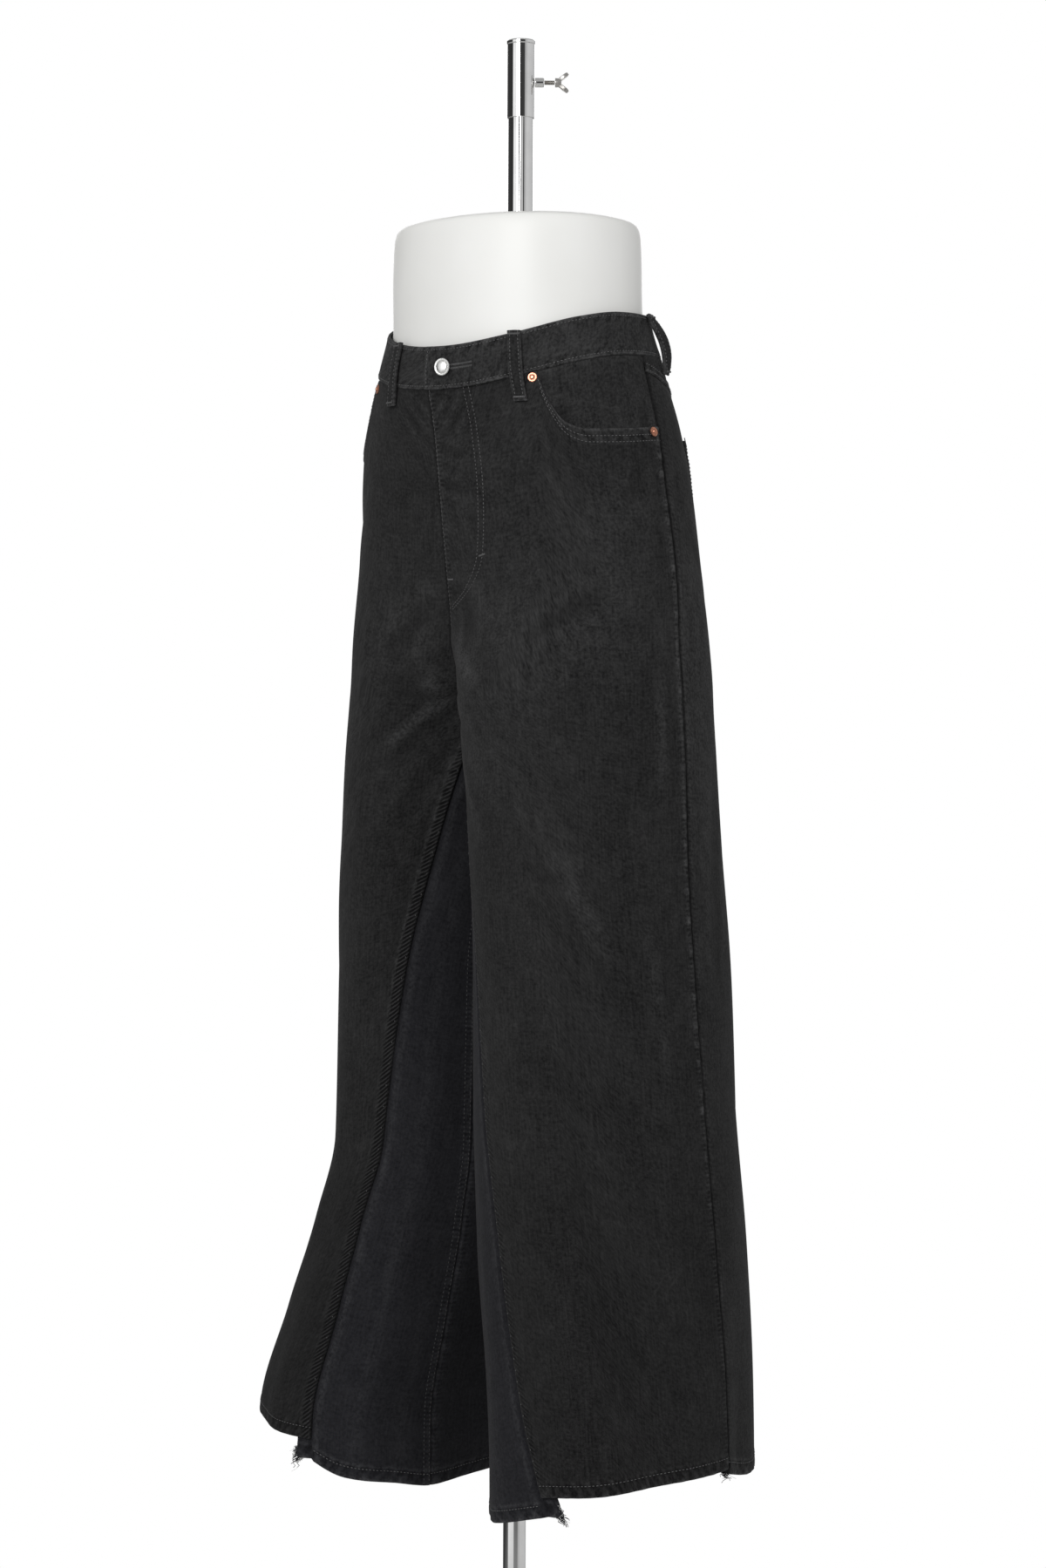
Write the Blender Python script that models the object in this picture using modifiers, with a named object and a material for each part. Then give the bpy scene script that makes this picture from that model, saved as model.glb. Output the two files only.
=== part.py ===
"""Wide five-pocket jeans with inserted inner-leg godets, worn by a limbless hip form on a steel pole.

Metres, +Z up. The origin is on the floor under the pole. The wearer faces -Y and the wearer's left is +X.
Every cloth panel is a loft through horizontal rings: two ring tables give the hips and each leg, and the
seams are given as angles on those rings.
"""

import math

import bmesh
import bpy
import numpy as np
from mathutils import Matrix, Vector

# Cloth
DENIM = 0.0016          # thickness of one layer
HEM_FOLD = 0.0010       # how far a turned hem stands proud, inside
HEM_DEPTH = 0.015       # height of a turned hem
SEAM_GAP = 0.0004       # between the edges of two pieces
WAIST_GAP = 0.0011      # between the waistband's edge and what hangs from it
LAYER_GAP = 0.0004      # between two layers
SEAM_RIDGE = 0.0008     # rise of the folded allowance beside a seam
FLY_LIFT = 0.0013       # the left front laps over the right

# Heights
WAIST_TILT = 0.008      # the waist climbs this much more on the wearer's right
WAISTBAND_DEPTH = 0.040
WAIST_READ = 1.270      # the waist's height is read from the hip ring at this level
CROTCH = 0.955
NOMINAL_WAIST = 1.250   # the level that stands for the waist seam
NOMINAL_HEM = 0.200     # the level that stands for the hem
BLEND_TOP = 1.090       # the hips start to divide into legs here

# Rings round the hips. right, left, front and back are how far the cloth reaches on each side, square is
# the exponent of the ring's superellipse, and outseam is the side seam's angle, in degrees to the front.
HIP_COLUMNS = ("z", "right", "left", "front", "back", "square", "outseam")
HIP_RINGS = (
    (1.335, -0.1355, 0.1335, -0.1120, 0.1130, 2.12, -13),
    (1.320, -0.1368, 0.1345, -0.1125, 0.1138, 2.12, -13),
    (1.270, -0.1590, 0.1495, -0.1130, 0.1225, 2.12, -7),
    (1.210, -0.1815, 0.1685, -0.1075, 0.1250, 2.25, -3),
    (1.150, -0.1895, 0.1800, -0.1035, 0.1285, 2.35, -1),
    (1.080, -0.1925, 0.1890, -0.1080, 0.1340, 2.35, -2),
    (1.020, -0.1940, 0.1975, -0.1130, 0.1390, 2.30, -2),
    (0.940, -0.1980, 0.2050, -0.1160, 0.1420, 2.20, -2),
)

# Rings round each leg. inner and outer are distances from the garment's middle plane, and the seam angles
# run from 0 at the outer side through 90 at the front and 180 at the inner side to 270 at the back.
LEG_COLUMNS = ("z", "inner", "outer", "front", "back", "square", "outseam", "godet_front", "godet_mid", "godet_back")
LEFT_LEG_RINGS = (
    (1.090, -0.030, 0.193, -0.118, 0.130, 2.0, -2, 180, 181, 182),
    (1.020, -0.030, 0.201, -0.122, 0.130, 2.0, -2, 180, 181, 182),
    (0.955, -0.0285, 0.209, -0.124, 0.128, 2.0, -3, 180, 181, 182),
    (0.890, -0.027, 0.211, -0.117, 0.131, 2.0, -2, 151, 184, 211),
    (0.785, -0.026, 0.213, -0.109, 0.138, 2.0, 0, 129, 189, 231),
    (0.685, -0.0255, 0.2155, -0.1065, 0.145, 2.0, -1, 118, 193, 243),
    (0.570, -0.0255, 0.2200, -0.1070, 0.152, 2.0, -3, 110, 195, 252),
    (0.430, -0.0240, 0.2245, -0.1045, 0.166, 2.0, -5, 99, 194, 262),
    (0.300, -0.0235, 0.2270, -0.0960, 0.172, 2.0, -8, 91, 192, 270),
    (0.160, -0.0245, 0.2280, -0.0910, 0.174, 2.0, -10, 74, 190, 278),
)
RIGHT_LEG_RINGS = (
    (1.090, 0.030, 0.191, -0.108, 0.142, 2.0, -2, 161, 162, 163),
    (1.020, 0.030, 0.198, -0.098, 0.152, 2.0, -2, 161, 162, 163),
    (0.955, 0.0305, 0.210, -0.087, 0.160, 2.0, -3, 161, 162, 163),
    (0.890, 0.031, 0.221, -0.086, 0.172, 2.0, -3, 146, 160, 194),
    (0.785, 0.030, 0.230, -0.086, 0.185, 2.0, -3, 130, 156, 224),
    (0.685, 0.0305, 0.2345, -0.0855, 0.190, 2.0, -3, 118, 151, 240),
    (0.520, 0.031, 0.2380, -0.087, 0.193, 2.0, -3, 107, 150, 250),
    (0.440, 0.033, 0.2475, -0.1055, 0.185, 2.0, -4, 104, 152, 256),
    (0.350, 0.049, 0.2650, -0.129, 0.175, 2.0, -5, 107, 157, 262),
    (0.250, 0.071, 0.2920, -0.1445, 0.171, 2.0, -6, 109, 161, 266),
    (0.160, 0.077, 0.2960, -0.146, 0.169, 2.0, -6, 110, 163, 268),
)

# The seam up the middle front and back, from the crotch to the waist: x and y at each height.
RISE_COLUMNS = ("z", "x", "y")
FRONT_RISE = (
    (0.955, -0.0290, 0.000),
    (0.958, -0.0290, -0.020),
    (0.975, -0.0285, -0.047),
    (1.000, -0.0250, -0.064),
    (1.030, -0.0170, -0.0740),
    (1.080, -0.0105, -0.0880),
    (1.150, -0.0080, -0.1000),
    (1.210, -0.0090, -0.1065),
    (1.250, -0.0110, -0.1115),
    (1.320, -0.0120, -0.1122),
)
BACK_RISE = (
    (0.955, -0.0290, 0.000),
    (0.958, -0.0290, 0.030),
    (0.972, -0.0280, 0.072),
    (1.000, -0.0250, 0.108),
    (1.045, -0.0180, 0.130),
    (1.110, -0.0080, 0.1335),
    (1.200, 0.0000, 0.1290),
    (1.320, 0.0000, 0.1160),
)

# The waistband's upper edge climbs from the front to the back: its height at each y.
WAIST_COLUMNS = ("y", "height")
WAIST_TOPS = (
    (-0.1130, 1.2855),
    (-0.0920, 1.2955),
    (-0.0450, 1.3115),
    (0.0030, 1.3190),
    (0.0640, 1.3210),
    (0.1160, 1.3220),
)

# Soft drape folds that run down a leg to its hem: the fold's angle where it starts and at the hem, its
# half width in degrees, and how far it stands out there (negative is a trough).
FOLD_COLUMNS = ("side", "start", "angle_start", "angle_hem", "half_width", "rise")
FOLDS = (
    (1, 0.62, 62, 55, 13, 0.0045),
    (1, 0.50, 34, 30, 11, -0.0040),
    (1, 0.42, -16, -22, 9, -0.0075),
    (1, 0.52, -56, -62, 13, 0.0050),
    (1, 0.60, -84, -88, 15, -0.0060),
    (1, 0.50, 112, 104, 11, 0.0050),
    (1, 0.45, 140, 132, 13, -0.0055),
    (1, 0.50, 216, 222, 14, 0.0070),
    (-1, 0.60, 74, 70, 12, -0.0040),
    (-1, 0.55, 128, 134, 12, 0.0050),
    (-1, 0.50, 166, 178, 13, -0.0060),
    (-1, 0.55, -30, -34, 13, -0.0060),
    (-1, 0.60, -62, -66, 14, 0.0070),
    (-1, 0.55, 226, 230, 14, -0.0070),
)

# Rows of every leg panel, as levels between the waist seam and the hem
LEVELS = (NOMINAL_WAIST, 1.226, 1.196, 1.155, 1.115, 1.075, 1.040, 1.012, 0.990, 0.974, 0.963, 0.957, 0.950,
          0.925, 0.890, 0.840, 0.770, 0.700, 0.620, 0.540, 0.460, 0.390, 0.330, 0.280, 0.240,
          NOMINAL_HEM + HEM_DEPTH, NOMINAL_HEM)
GODET_TOP = 0.950
CROTCH_FADE = 0.890         # the pull towards the crotch point has gone by here
CROTCH_APART = 0.0011       # each leg stays this far from that point

# Columns of the panels and the godets, as shares of their width
PANEL_COLUMNS = (0.0, 0.05, 0.15, 0.28, 0.41, 0.54, 0.67, 0.80, 0.92, 1.0)
GODET_COLUMNS = (0.0, 0.18, 0.37, 0.57, 0.78, 1.0)

# Hem heights along each leg: u is the share of a panel's width, and the godet's hem hangs lower.
HEM_COLUMNS = ("u", "height")
FRONT_HEM = {
    1: ((0.0, 0.2240), (0.30, 0.2190), (0.70, 0.2080), (1.0, 0.2030)),
    -1: ((0.0, 0.2460), (0.45, 0.2440), (0.80, 0.2330), (1.0, 0.2285)),
}
BACK_HEM = {
    1: ((0.0, 0.2195), (0.30, 0.2110), (1.0, 0.2150)),
    -1: ((0.0, 0.2460), (0.40, 0.2380), (1.0, 0.2300)),
}
GODET_HEM = {
    1: ((0.0, 0.1850), (0.18, 0.1680), (0.38, 0.1625), (0.50, 0.1730), (0.80, 0.1860), (1.0, 0.1950)),
    -1: ((0.0, 0.2090), (0.15, 0.1930), (0.35, 0.1855), (0.50, 0.1795), (0.62, 0.1850), (0.85, 0.1960), (1.0, 0.2050)),
}

# The godet's raw seam allowance lies under the panels, and shows below their shorter hems.
ALLOWANCE_AT_TOP = 0.006    # its width at the godet's point
ALLOWANCE_AT_HEM = 0.016    # and at the hem
ALLOWANCE_GAP = 0.0015      # between it and the panel
SHOULDER = 0.0045           # the godet dips under the panel's edge over this width

# Pockets, measured along the cloth from the outseam and in height
OPENING_WIDTH = 0.133       # along the waist seam, from the outseam to the opening's front corner
OPENING_COLUMNS = ("share", "height")    # the height of the opening's edge at each share of its width
OPENING_EDGE = (
    (0.0, 1.2085),
    (0.390, 1.2045),
    (0.690, 1.2035),
    (0.850, 1.2100),
    (0.943, 1.2275),
    (0.980, 1.2450),
    (1.0, 1.2620),
)
OPENING_STEPS = 18
OPENING_PAST = 0.006        # the cutter passes the outseam by this much
OPENING_ABOVE = 0.008       # and the waist seam by this
CUTTER_REACH = 0.008        # half of a cutter's depth through the cloth
FACING_ROWS, FACING_COLUMNS = 4, 8   # the facing lies under this much of the panel's grid
YOKE_SIDE = 0.016           # depth of the yoke at the outseam
YOKE_MIDDLE = 0.066         # and at the middle back
BACK_POCKET = {"width": 0.114, "side_drop": 0.132, "point_drop": 0.156, "top": 1.205, "middle_gap": 0.030}
POCKET_LIFT = 0.0007        # between the pocket and the panel that it lies on
COIN_POCKET_X = (-0.158, -0.092)
COIN_POCKET_TOP = 1.2440

# The waistband, and the belt loops: angle round the waist, how far the strip bows away from the band,
# how far its foot leans to the side, how far its middle is twisted, in degrees, and how far it reaches
# below the band's seam
BAND_THICK = DENIM * 1.3
BAND_STEPS = 56
BAND_START = -93.0          # the band's left end, in degrees round from the wearer's left side
BAND_LAP = 17.0             # degrees of its right end that lie under the left
LOOP_WIDTH = 0.0135
LOOP_THICK = DENIM * 1.2
LOOP_GAP = 0.0003
LOOP_STATIONS = 9
LOOP_COLUMNS = ("name", "side", "angle", "bow", "lean", "twist", "below")
BELT_LOOPS = (
    ("belt_loop_front_left", 1, 53.7, 0.0030, 0.0055, 0, 0.0260),
    ("belt_loop_front_right", -1, 69.0, 0.0020, 0.002, 0, 0.0190),
    ("belt_loop_side_left", 1, -25.0, 0.0085, 0.000, 28, 0.0190),
    ("belt_loop_side_right", -1, -30.0, 0.0030, 0.000, 0, 0.0190),
    ("belt_loop_back", 1, -90.0, 0.0030, 0.000, 0, 0.0190),
)
LOOP_ABOVE = 0.0010         # the loop's top reaches past the band

# Metal. A profile is radius and height from the cloth, from the middle of the top to the middle of the foot.
BUTTON_ANGLE = 84.1
BUTTON_DROP = 0.0205        # its middle, below the band's upper edge
BUTTON_LEAN = 0.47          # how far it leans on its shank, towards the wearer's left
BUTTON_GAP = 0.0010         # between the cloth and the middle of the shank's foot, which leans too
BUTTON_PROFILE = (
    (0, 0.0058), (0.0038, 0.0055), (0.0063, 0.0046), (0.0074, 0.0036), (0.0081, 0.0034),
    (0.0083, 0.0027), (0.0079, 0.0021), (0.0038, 0.0018), (0.0032, 0.0), (0, 0.0),
)
RIVET_PROFILE = ((0, 0.0024), (0.0016, 0.0023), (0.0020, 0.0017), (0.0038, 0.0015), (0.0047, 0.0006), (0.0047, 0), (0, 0))
METAL_GAP = 0.0005          # between a rivet's foot and the panel
RIVET_COLUMNS = ("name", "side", "from_outseam", "z")
RIVETS = (
    ("rivet_front_left", 1, 0.1378, 1.2520),
    ("rivet_side_left", 1, 0.0080, 1.2028),
    ("rivet_front_right", -1, 0.142, 1.2560),
    ("rivet_side_right", -1, 0.0080, 1.2028),
)

# The stand. A form ring is z, half width, half depth and how far its middle sits back.
FORM_COLUMNS = ("z", "half_width", "half_depth", "back")
FORM_RINGS = (
    (1.4120, 0.1175, 0.0950, -0.001),
    (1.4100, 0.1235, 0.1010, -0.001),
    (1.4050, 0.1265, 0.1040, -0.001),
    (1.3950, 0.1280, 0.1055, -0.001),
    (1.3600, 0.1288, 0.1070, -0.001),
    (1.3200, 0.1292, 0.1072, 0.000),
    (1.2800, 0.1365, 0.1085, 0.003),
    (1.2200, 0.1530, 0.1060, 0.010),
    (1.1500, 0.1610, 0.1035, 0.012),
    (1.0850, 0.1580, 0.0990, 0.015),
    (1.0480, 0.1400, 0.0850, 0.018),
    (1.0320, 0.1120, 0.0700, 0.018),
)
FORM_SQUARE = 2.15
FORM_BORE = 0.0130
FORM_SHIFT = -0.0035         # the form sits this far to the wearer's right of the pole
FORM_SIDES = 36
POLE_RADIUS = 0.0110
TUBE_RADIUS = 0.0123
ROD_RADIUS = 0.0024
SLEEVE_RADIUS = 0.0134
SLEEVE_LIP = 0.0142
SLEEVE_LOW, SLEEVE_HIGH = 1.519, 1.595
LIP_HEIGHT = 0.0042
TUBE_LOW = 1.3000
CLAMP_Z = 1.554
CLAMP_YAW = math.radians(45)
BASE_RADIUS = 0.190
BASE_THICK = 0.008
COLLAR_RADIUS = 0.019
COLLAR_HEIGHT = 0.030
FIT_GAP = 0.0003            # between hard pieces that touch
FORM_TOP = FORM_RINGS[0][0] + 0.0012
TUBE_HIGH = SLEEVE_LOW + 0.030
CLAMP_START = SLEEVE_RADIUS + FIT_GAP
BOSS_LONG = 0.0090
SCREW_LONG = 0.0100
NUT_LONG = 0.0060


def column(table, columns, name):
    return [row[columns.index(name)] for row in table]


def smooth_at(heights, values, z):
    """A smooth curve through values at rising heights that never overshoots them, read at z."""
    heights, values = np.asarray(heights, float), np.asarray(values, float)
    if heights[0] > heights[-1]:
        heights, values = heights[::-1], values[::-1]
    step = np.diff(heights)
    slope = np.diff(values) / step
    tangent = np.zeros(len(values))
    tangent[0], tangent[-1] = slope[0], slope[-1]
    for i in range(1, len(values) - 1):
        if slope[i - 1] * slope[i] > 0:
            near, far = 2 * step[i] + step[i - 1], step[i] + 2 * step[i - 1]
            tangent[i] = (near + far) / (near / slope[i - 1] + far / slope[i])
    z = min(max(z, heights[0]), heights[-1])
    i = min(int(np.searchsorted(heights, z, side="right")) - 1, len(step) - 1)
    t = (z - heights[i]) / step[i]
    return float(
        (2 * t**3 - 3 * t**2 + 1) * values[i]
        + (t**3 - 2 * t**2 + t) * step[i] * tangent[i]
        + (3 * t**2 - 2 * t**3) * values[i + 1]
        + (t**3 - t**2) * step[i] * tangent[i + 1]
    )


def ease(t):
    t = min(max(t, 0.0), 1.0)
    return t * t * (3 - 2 * t)


def mix(a, b, t):
    return a + (b - a) * t


def read_ring(table, columns, z):
    heights = column(table, columns, "z")
    return {name: smooth_at(heights, column(table, columns, name), z) for name in columns[1:]}


def on_ring(middle_x, middle_y, half_x, half_y, square, side, degrees):
    """The point of a superellipse at an angle, from the side's outer end towards the front."""
    c, s = math.cos(math.radians(degrees)), math.sin(math.radians(degrees))
    power = 2 / square
    return np.array([
        middle_x + side * half_x * math.copysign(abs(c) ** power, c),
        middle_y - half_y * math.copysign(abs(s) ** power, s),
    ])


def hip_ring(z):
    ring = read_ring(HIP_RINGS, HIP_COLUMNS, z)
    return (
        (ring["right"] + ring["left"]) / 2,
        (ring["front"] + ring["back"]) / 2,
        (ring["left"] - ring["right"]) / 2,
        (ring["back"] - ring["front"]) / 2,
        ring["square"],
    )


def hip_point(side, degrees, z):
    return on_ring(*hip_ring(z), side, degrees)


def leg_table(side):
    return LEFT_LEG_RINGS if side > 0 else RIGHT_LEG_RINGS


def leg_point(side, degrees, z):
    """A point of a leg's ring, with the drape folds in it."""
    ring = read_ring(leg_table(side), LEG_COLUMNS, z)
    middle_x = side * (ring["inner"] + ring["outer"]) / 2
    middle_y = (ring["front"] + ring["back"]) / 2
    half_x, half_y = (ring["outer"] - ring["inner"]) / 2, (ring["back"] - ring["front"]) / 2
    point = on_ring(middle_x, middle_y, half_x, half_y, ring["square"], side, degrees)
    outward = (point - (middle_x, middle_y)) / (half_x**2, half_y**2)
    outward /= np.linalg.norm(outward)
    rise = 0.0
    for fold in FOLDS:
        of_side, start, angle_start, angle_hem, half_width, height = fold
        if of_side != side or z > start:
            continue
        along = (start - z) / (start - NOMINAL_HEM)
        away = (degrees - mix(angle_start, angle_hem, along) + 180) % 360 - 180
        rise += height * ease(along) * math.exp(-((away / half_width) ** 2))
    return point + outward * rise


def leg_seam(side, seam, z):
    return read_ring(leg_table(side), LEG_COLUMNS, z)[seam]


def inner_angle(side, front, z, rise):
    """The leg-ring angle of a panel's inner edge: the godet's seam, or the rise seam above the crotch."""
    if z <= CROTCH:
        return leg_seam(side, "godet_front", z) if front else leg_seam(side, "godet_back", z) - 360
    ring = read_ring(leg_table(side), LEG_COLUMNS, z)
    middle, half = (ring["front"] + ring["back"]) / 2, (ring["back"] - ring["front"]) / 2
    tilt = math.degrees(math.asin(min(max((middle - rise[1]) / half, -1), 1)))
    return 180 - tilt if front else -180 - tilt


def rise_point(table, z):
    heights = column(table, RISE_COLUMNS, "z")
    return np.array([smooth_at(heights, column(table, RISE_COLUMNS, axis), z) for axis in "xy"])


def angle_of_x(x, z, side, front):
    """The angle on a hip ring where the rise seam's x lies."""
    middle_x, _, half_x, _, square = hip_ring(z)
    share = side * (x - middle_x) / half_x
    c = math.copysign(abs(share) ** (square / 2), share)
    degrees = math.degrees(math.acos(min(max(c, -1), 1)))
    return degrees if front else -degrees


def waist_top(x, y):
    """Height of the waistband's upper edge, which climbs to the back and to the wearer's right."""
    depths, heights = (column(WAIST_TOPS, WAIST_COLUMNS, name) for name in WAIST_COLUMNS)
    return smooth_at(depths, heights, y) + WAIST_TILT * ease((0.05 - x) / 0.19)


def waist_edge(side, front, u):
    """Height of the panels' and yokes' upper edge, just under the waistband."""
    seam = read_ring(HIP_RINGS, HIP_COLUMNS, WAIST_READ)["outseam"]
    rise = rise_point(FRONT_RISE if front else BACK_RISE, WAIST_READ)
    edge = angle_of_x(rise[0], WAIST_READ, side, front)
    return waist_top(*hip_point(side, mix(seam, edge, u), WAIST_READ)) - WAISTBAND_DEPTH - WAIST_GAP


def crotch_pull(side, z):
    """How far the leg's ring is drawn to the crotch point just below the crotch."""
    near = ease((z - CROTCH_FADE) / (CROTCH - CROTCH_FADE))
    if near == 0 or z > CROTCH:
        return np.zeros(2)
    at_crotch = leg_point(side, leg_seam(side, "godet_mid", CROTCH), CROTCH)
    return near * (rise_point(FRONT_RISE, CROTCH) + (side * CROTCH_APART, 0) - at_crotch)


def panel_base(side, front, u, z):
    """The master surface: u runs from the outseam (0) to the rise seam or the godet (1)."""
    rise = rise_point(FRONT_RISE if front else BACK_RISE, max(z, CROTCH))
    divided = ease((BLEND_TOP - z) / (BLEND_TOP - CROTCH))
    point = np.zeros(2)
    if divided < 1:
        seam = read_ring(HIP_RINGS, HIP_COLUMNS, z)["outseam"]
        edge = angle_of_x(rise[0], z, side, front)
        point += (1 - divided) * hip_point(side, mix(seam, edge, u), z)
    if divided > 0:
        seam = leg_seam(side, "outseam", z)
        point += divided * leg_point(side, mix(seam, inner_angle(side, front, z, rise), u), z)
    if z > CROTCH:
        at_edge = panel_edge(side, front, z, divided, rise)
        return point + (rise - at_edge) * u**4
    return point + crotch_pull(side, z) * u**4


def panel_edge(side, front, z, divided, rise):
    """Where the rings alone would put a panel's inner edge above the crotch."""
    edge = hip_point(side, angle_of_x(rise[0], z, side, front), z) * (1 - divided)
    if divided > 0:
        edge = edge + divided * leg_point(side, inner_angle(side, front, z, rise), z)
    return edge


def godet_base(side, w, z):
    """The godet's surface: w is 0 at the front seam, 0.5 at the felled middle seam and 1 at the back seam."""
    first, middle, last = (leg_seam(side, name, z) for name in ("godet_front", "godet_mid", "godet_back"))
    degrees = mix(first, middle, w * 2) if w < 0.5 else mix(middle, last, w * 2 - 1)
    return leg_point(side, degrees, z) + crotch_pull(side, z)


def spread_levels(level, top_shift, hem_shift):
    """A row's height: level, moved with the waist near the top and with the hem near the bottom."""
    top = ease((level - 1.10) / (NOMINAL_WAIST - 1.10))
    low = ease((0.40 - level) / (0.40 - NOMINAL_HEM - HEM_DEPTH))
    return level + top_shift * top + hem_shift * low


def hem_height(table, u):
    shares, heights = (column(table, HEM_COLUMNS, name) for name in HEM_COLUMNS)
    return smooth_at(shares, heights, u)


def outward_normals(points):
    """Unit normals of a grid of points, rows going down and columns to the left seen from outside."""
    along = np.gradient(points, axis=1)
    down = np.gradient(points, axis=0)
    normals = np.cross(along, down)
    return normals / np.linalg.norm(normals, axis=2, keepdims=True)


def trim_edge(points, index, inward, gap):
    """Pulls a grid's edge column back along its rows, to leave the seam's gap."""
    step = points[:, inward] - points[:, index]
    points[:, index] += gap * step / np.linalg.norm(step, axis=1, keepdims=True)


class Cloth:
    """A grid of outer points with its normals, whose edges can share normals with a neighbour's."""

    def __init__(self, points, flip=False):
        self.points = np.array(points, float)
        self.normals = outward_normals(self.points) * (-1 if flip else 1)
        self.flip = flip

    def lifted(self, outward, rows=slice(None), columns=slice(None)):
        """The same cloth, or a part of its grid, moved out along its normals."""
        distance = np.broadcast_to(outward, self.points.shape[:2])[rows, columns]
        moved = Cloth(self.points[rows, columns], self.flip)
        moved.normals = self.normals[rows, columns]
        moved.points = moved.points + moved.normals * distance[..., None]
        return moved


def share_normals(*edges):
    """Gives the edges of two or more panels that meet the mean of their normals."""
    total = sum(cloth.normals[rows, cols] for cloth, rows, cols in edges)
    total = total / np.linalg.norm(total, axis=-1, keepdims=True)
    for cloth, rows, cols in edges:
        cloth.normals[rows, cols] = total


def wall_object(name, material, cloth, thickness, parts):
    """A closed wall between a cloth's outer points and the same points moved inward."""
    outer = cloth.points
    inner = outer - cloth.normals * np.broadcast_to(thickness, outer.shape[:2])[..., None]
    rows, cols = outer.shape[:2]
    bm = bmesh.new()
    front = [[bm.verts.new(outer[i, j]) for j in range(cols)] for i in range(rows)]
    back = [[bm.verts.new(inner[i, j]) for j in range(cols)] for i in range(rows)]

    def quad(a, b, c, d):
        bm.faces.new((a, b, c))
        bm.faces.new((a, c, d))

    for i in range(rows - 1):
        for j in range(cols - 1):
            quad(front[i][j], front[i + 1][j], front[i + 1][j + 1], front[i][j + 1])
            quad(back[i][j], back[i][j + 1], back[i + 1][j + 1], back[i + 1][j])
    for i in range(rows - 1):
        quad(front[i][0], back[i][0], back[i + 1][0], front[i + 1][0])
        quad(front[i][-1], front[i + 1][-1], back[i + 1][-1], back[i][-1])
    for j in range(cols - 1):
        quad(front[0][j], front[0][j + 1], back[0][j + 1], back[0][j])
        quad(front[-1][j], back[-1][j], back[-1][j + 1], front[-1][j + 1])
    return finish_mesh(name, material, bm, parts)


def finish_mesh(name, material, bm, parts):
    """Turns a bmesh into a named object with its faces pointing out."""
    if bm.calc_volume(signed=True) < 0:
        bmesh.ops.reverse_faces(bm, faces=bm.faces)
    mesh = bpy.data.meshes.new(name)
    bm.to_mesh(mesh)
    bm.free()
    mesh.shade_smooth()
    mesh.set_sharp_from_angle(angle=math.radians(40))
    if material:
        mesh.materials.append(material)
    obj = bpy.data.objects.new(name, mesh)
    parts.objects.link(obj)
    return obj


def make_material(name, color, roughness, metallic=0.0):
    material = bpy.data.materials.new(name)
    material.use_nodes = True
    shader = material.node_tree.nodes["Principled BSDF"]
    shader.inputs["Base Color"].default_value = (*color, 1)
    shader.inputs["Roughness"].default_value = roughness
    shader.inputs["Metallic"].default_value = metallic
    return material


def leg_panel(side, front):
    """A front or back panel from the waist or yoke seam to the hem."""
    rows = []
    for k, level in enumerate(LEVELS):
        row = []
        for u in PANEL_COLUMNS:
            top = waist_edge(side, front, u)
            if not front:
                top -= mix(YOKE_SIDE, YOKE_MIDDLE, u) + SEAM_GAP
            hem = hem_height(FRONT_HEM[side] if front else BACK_HEM[side], u)
            z = spread_levels(level, top - NOMINAL_WAIST, hem - NOMINAL_HEM)
            row.append((*panel_base(side, front, u, z), z))
        rows.append(row)
    points = np.array(rows)
    trim_edge(points, 0, 1, SEAM_GAP / 2)
    trim_edge(points, -1, -2, SEAM_GAP / 2)
    return Cloth(points, flip=(side > 0) != front)


def godet_panel(side, first, last, panel):
    """Half of a godet, between two of its seams, with the raw allowance that lies under the panel."""
    levels = [level for level in LEVELS if level <= GODET_TOP]
    rows = []
    for level in levels:
        row = []
        for share in GODET_COLUMNS:
            w = mix(first, last, share)
            z = spread_levels(level, 0, hem_height(GODET_HEM[side], w) - NOMINAL_HEM)
            row.append((*godet_base(side, w, z), z))
        rows.append(row)
    cloth = Cloth(rows, flip=side < 0)
    if first == 0.0:
        return with_allowance(side, True, cloth, panel, levels)
    return with_allowance(side, False, cloth, panel, levels)


def with_allowance(side, front, cloth, panel, levels):
    """The godet's grid, its panel edge replaced by a shoulder and the allowance under the panel."""
    edge, beside, middle = (0, 1, -1) if front else (-1, -2, 0)
    start, inside = cloth.points[:, edge], cloth.points[:, beside]
    toward = inside - start
    length = np.linalg.norm(toward, axis=1)
    shoulder = start + toward * (np.minimum(SHOULDER, length * 0.5) / length)[:, None]
    low = np.array([ease((GODET_TOP - level) / (GODET_TOP - NOMINAL_HEM)) for level in levels])
    reach = mix(ALLOWANCE_AT_TOP, ALLOWANCE_AT_HEM, low)
    dip = DENIM + ALLOWANCE_GAP + HEM_FOLD * np.array([ease((0.40 - level) / 0.12) for level in levels])
    under = under_panel(side, front, panel, start, 0.0003, dip)
    raw = under_panel(side, front, panel, start, reach, dip)
    kept = cloth.points[:, 1:] if front else cloth.points[:, :-1]
    added = np.stack([raw, under, shoulder] if front else [shoulder, under, raw], axis=1)
    points = np.concatenate([added, kept] if front else [kept, added], axis=1)
    trim_edge(points, middle, -2 if front else 1, SEAM_GAP / 2)
    return Cloth(points, flip=cloth.flip)


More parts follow.
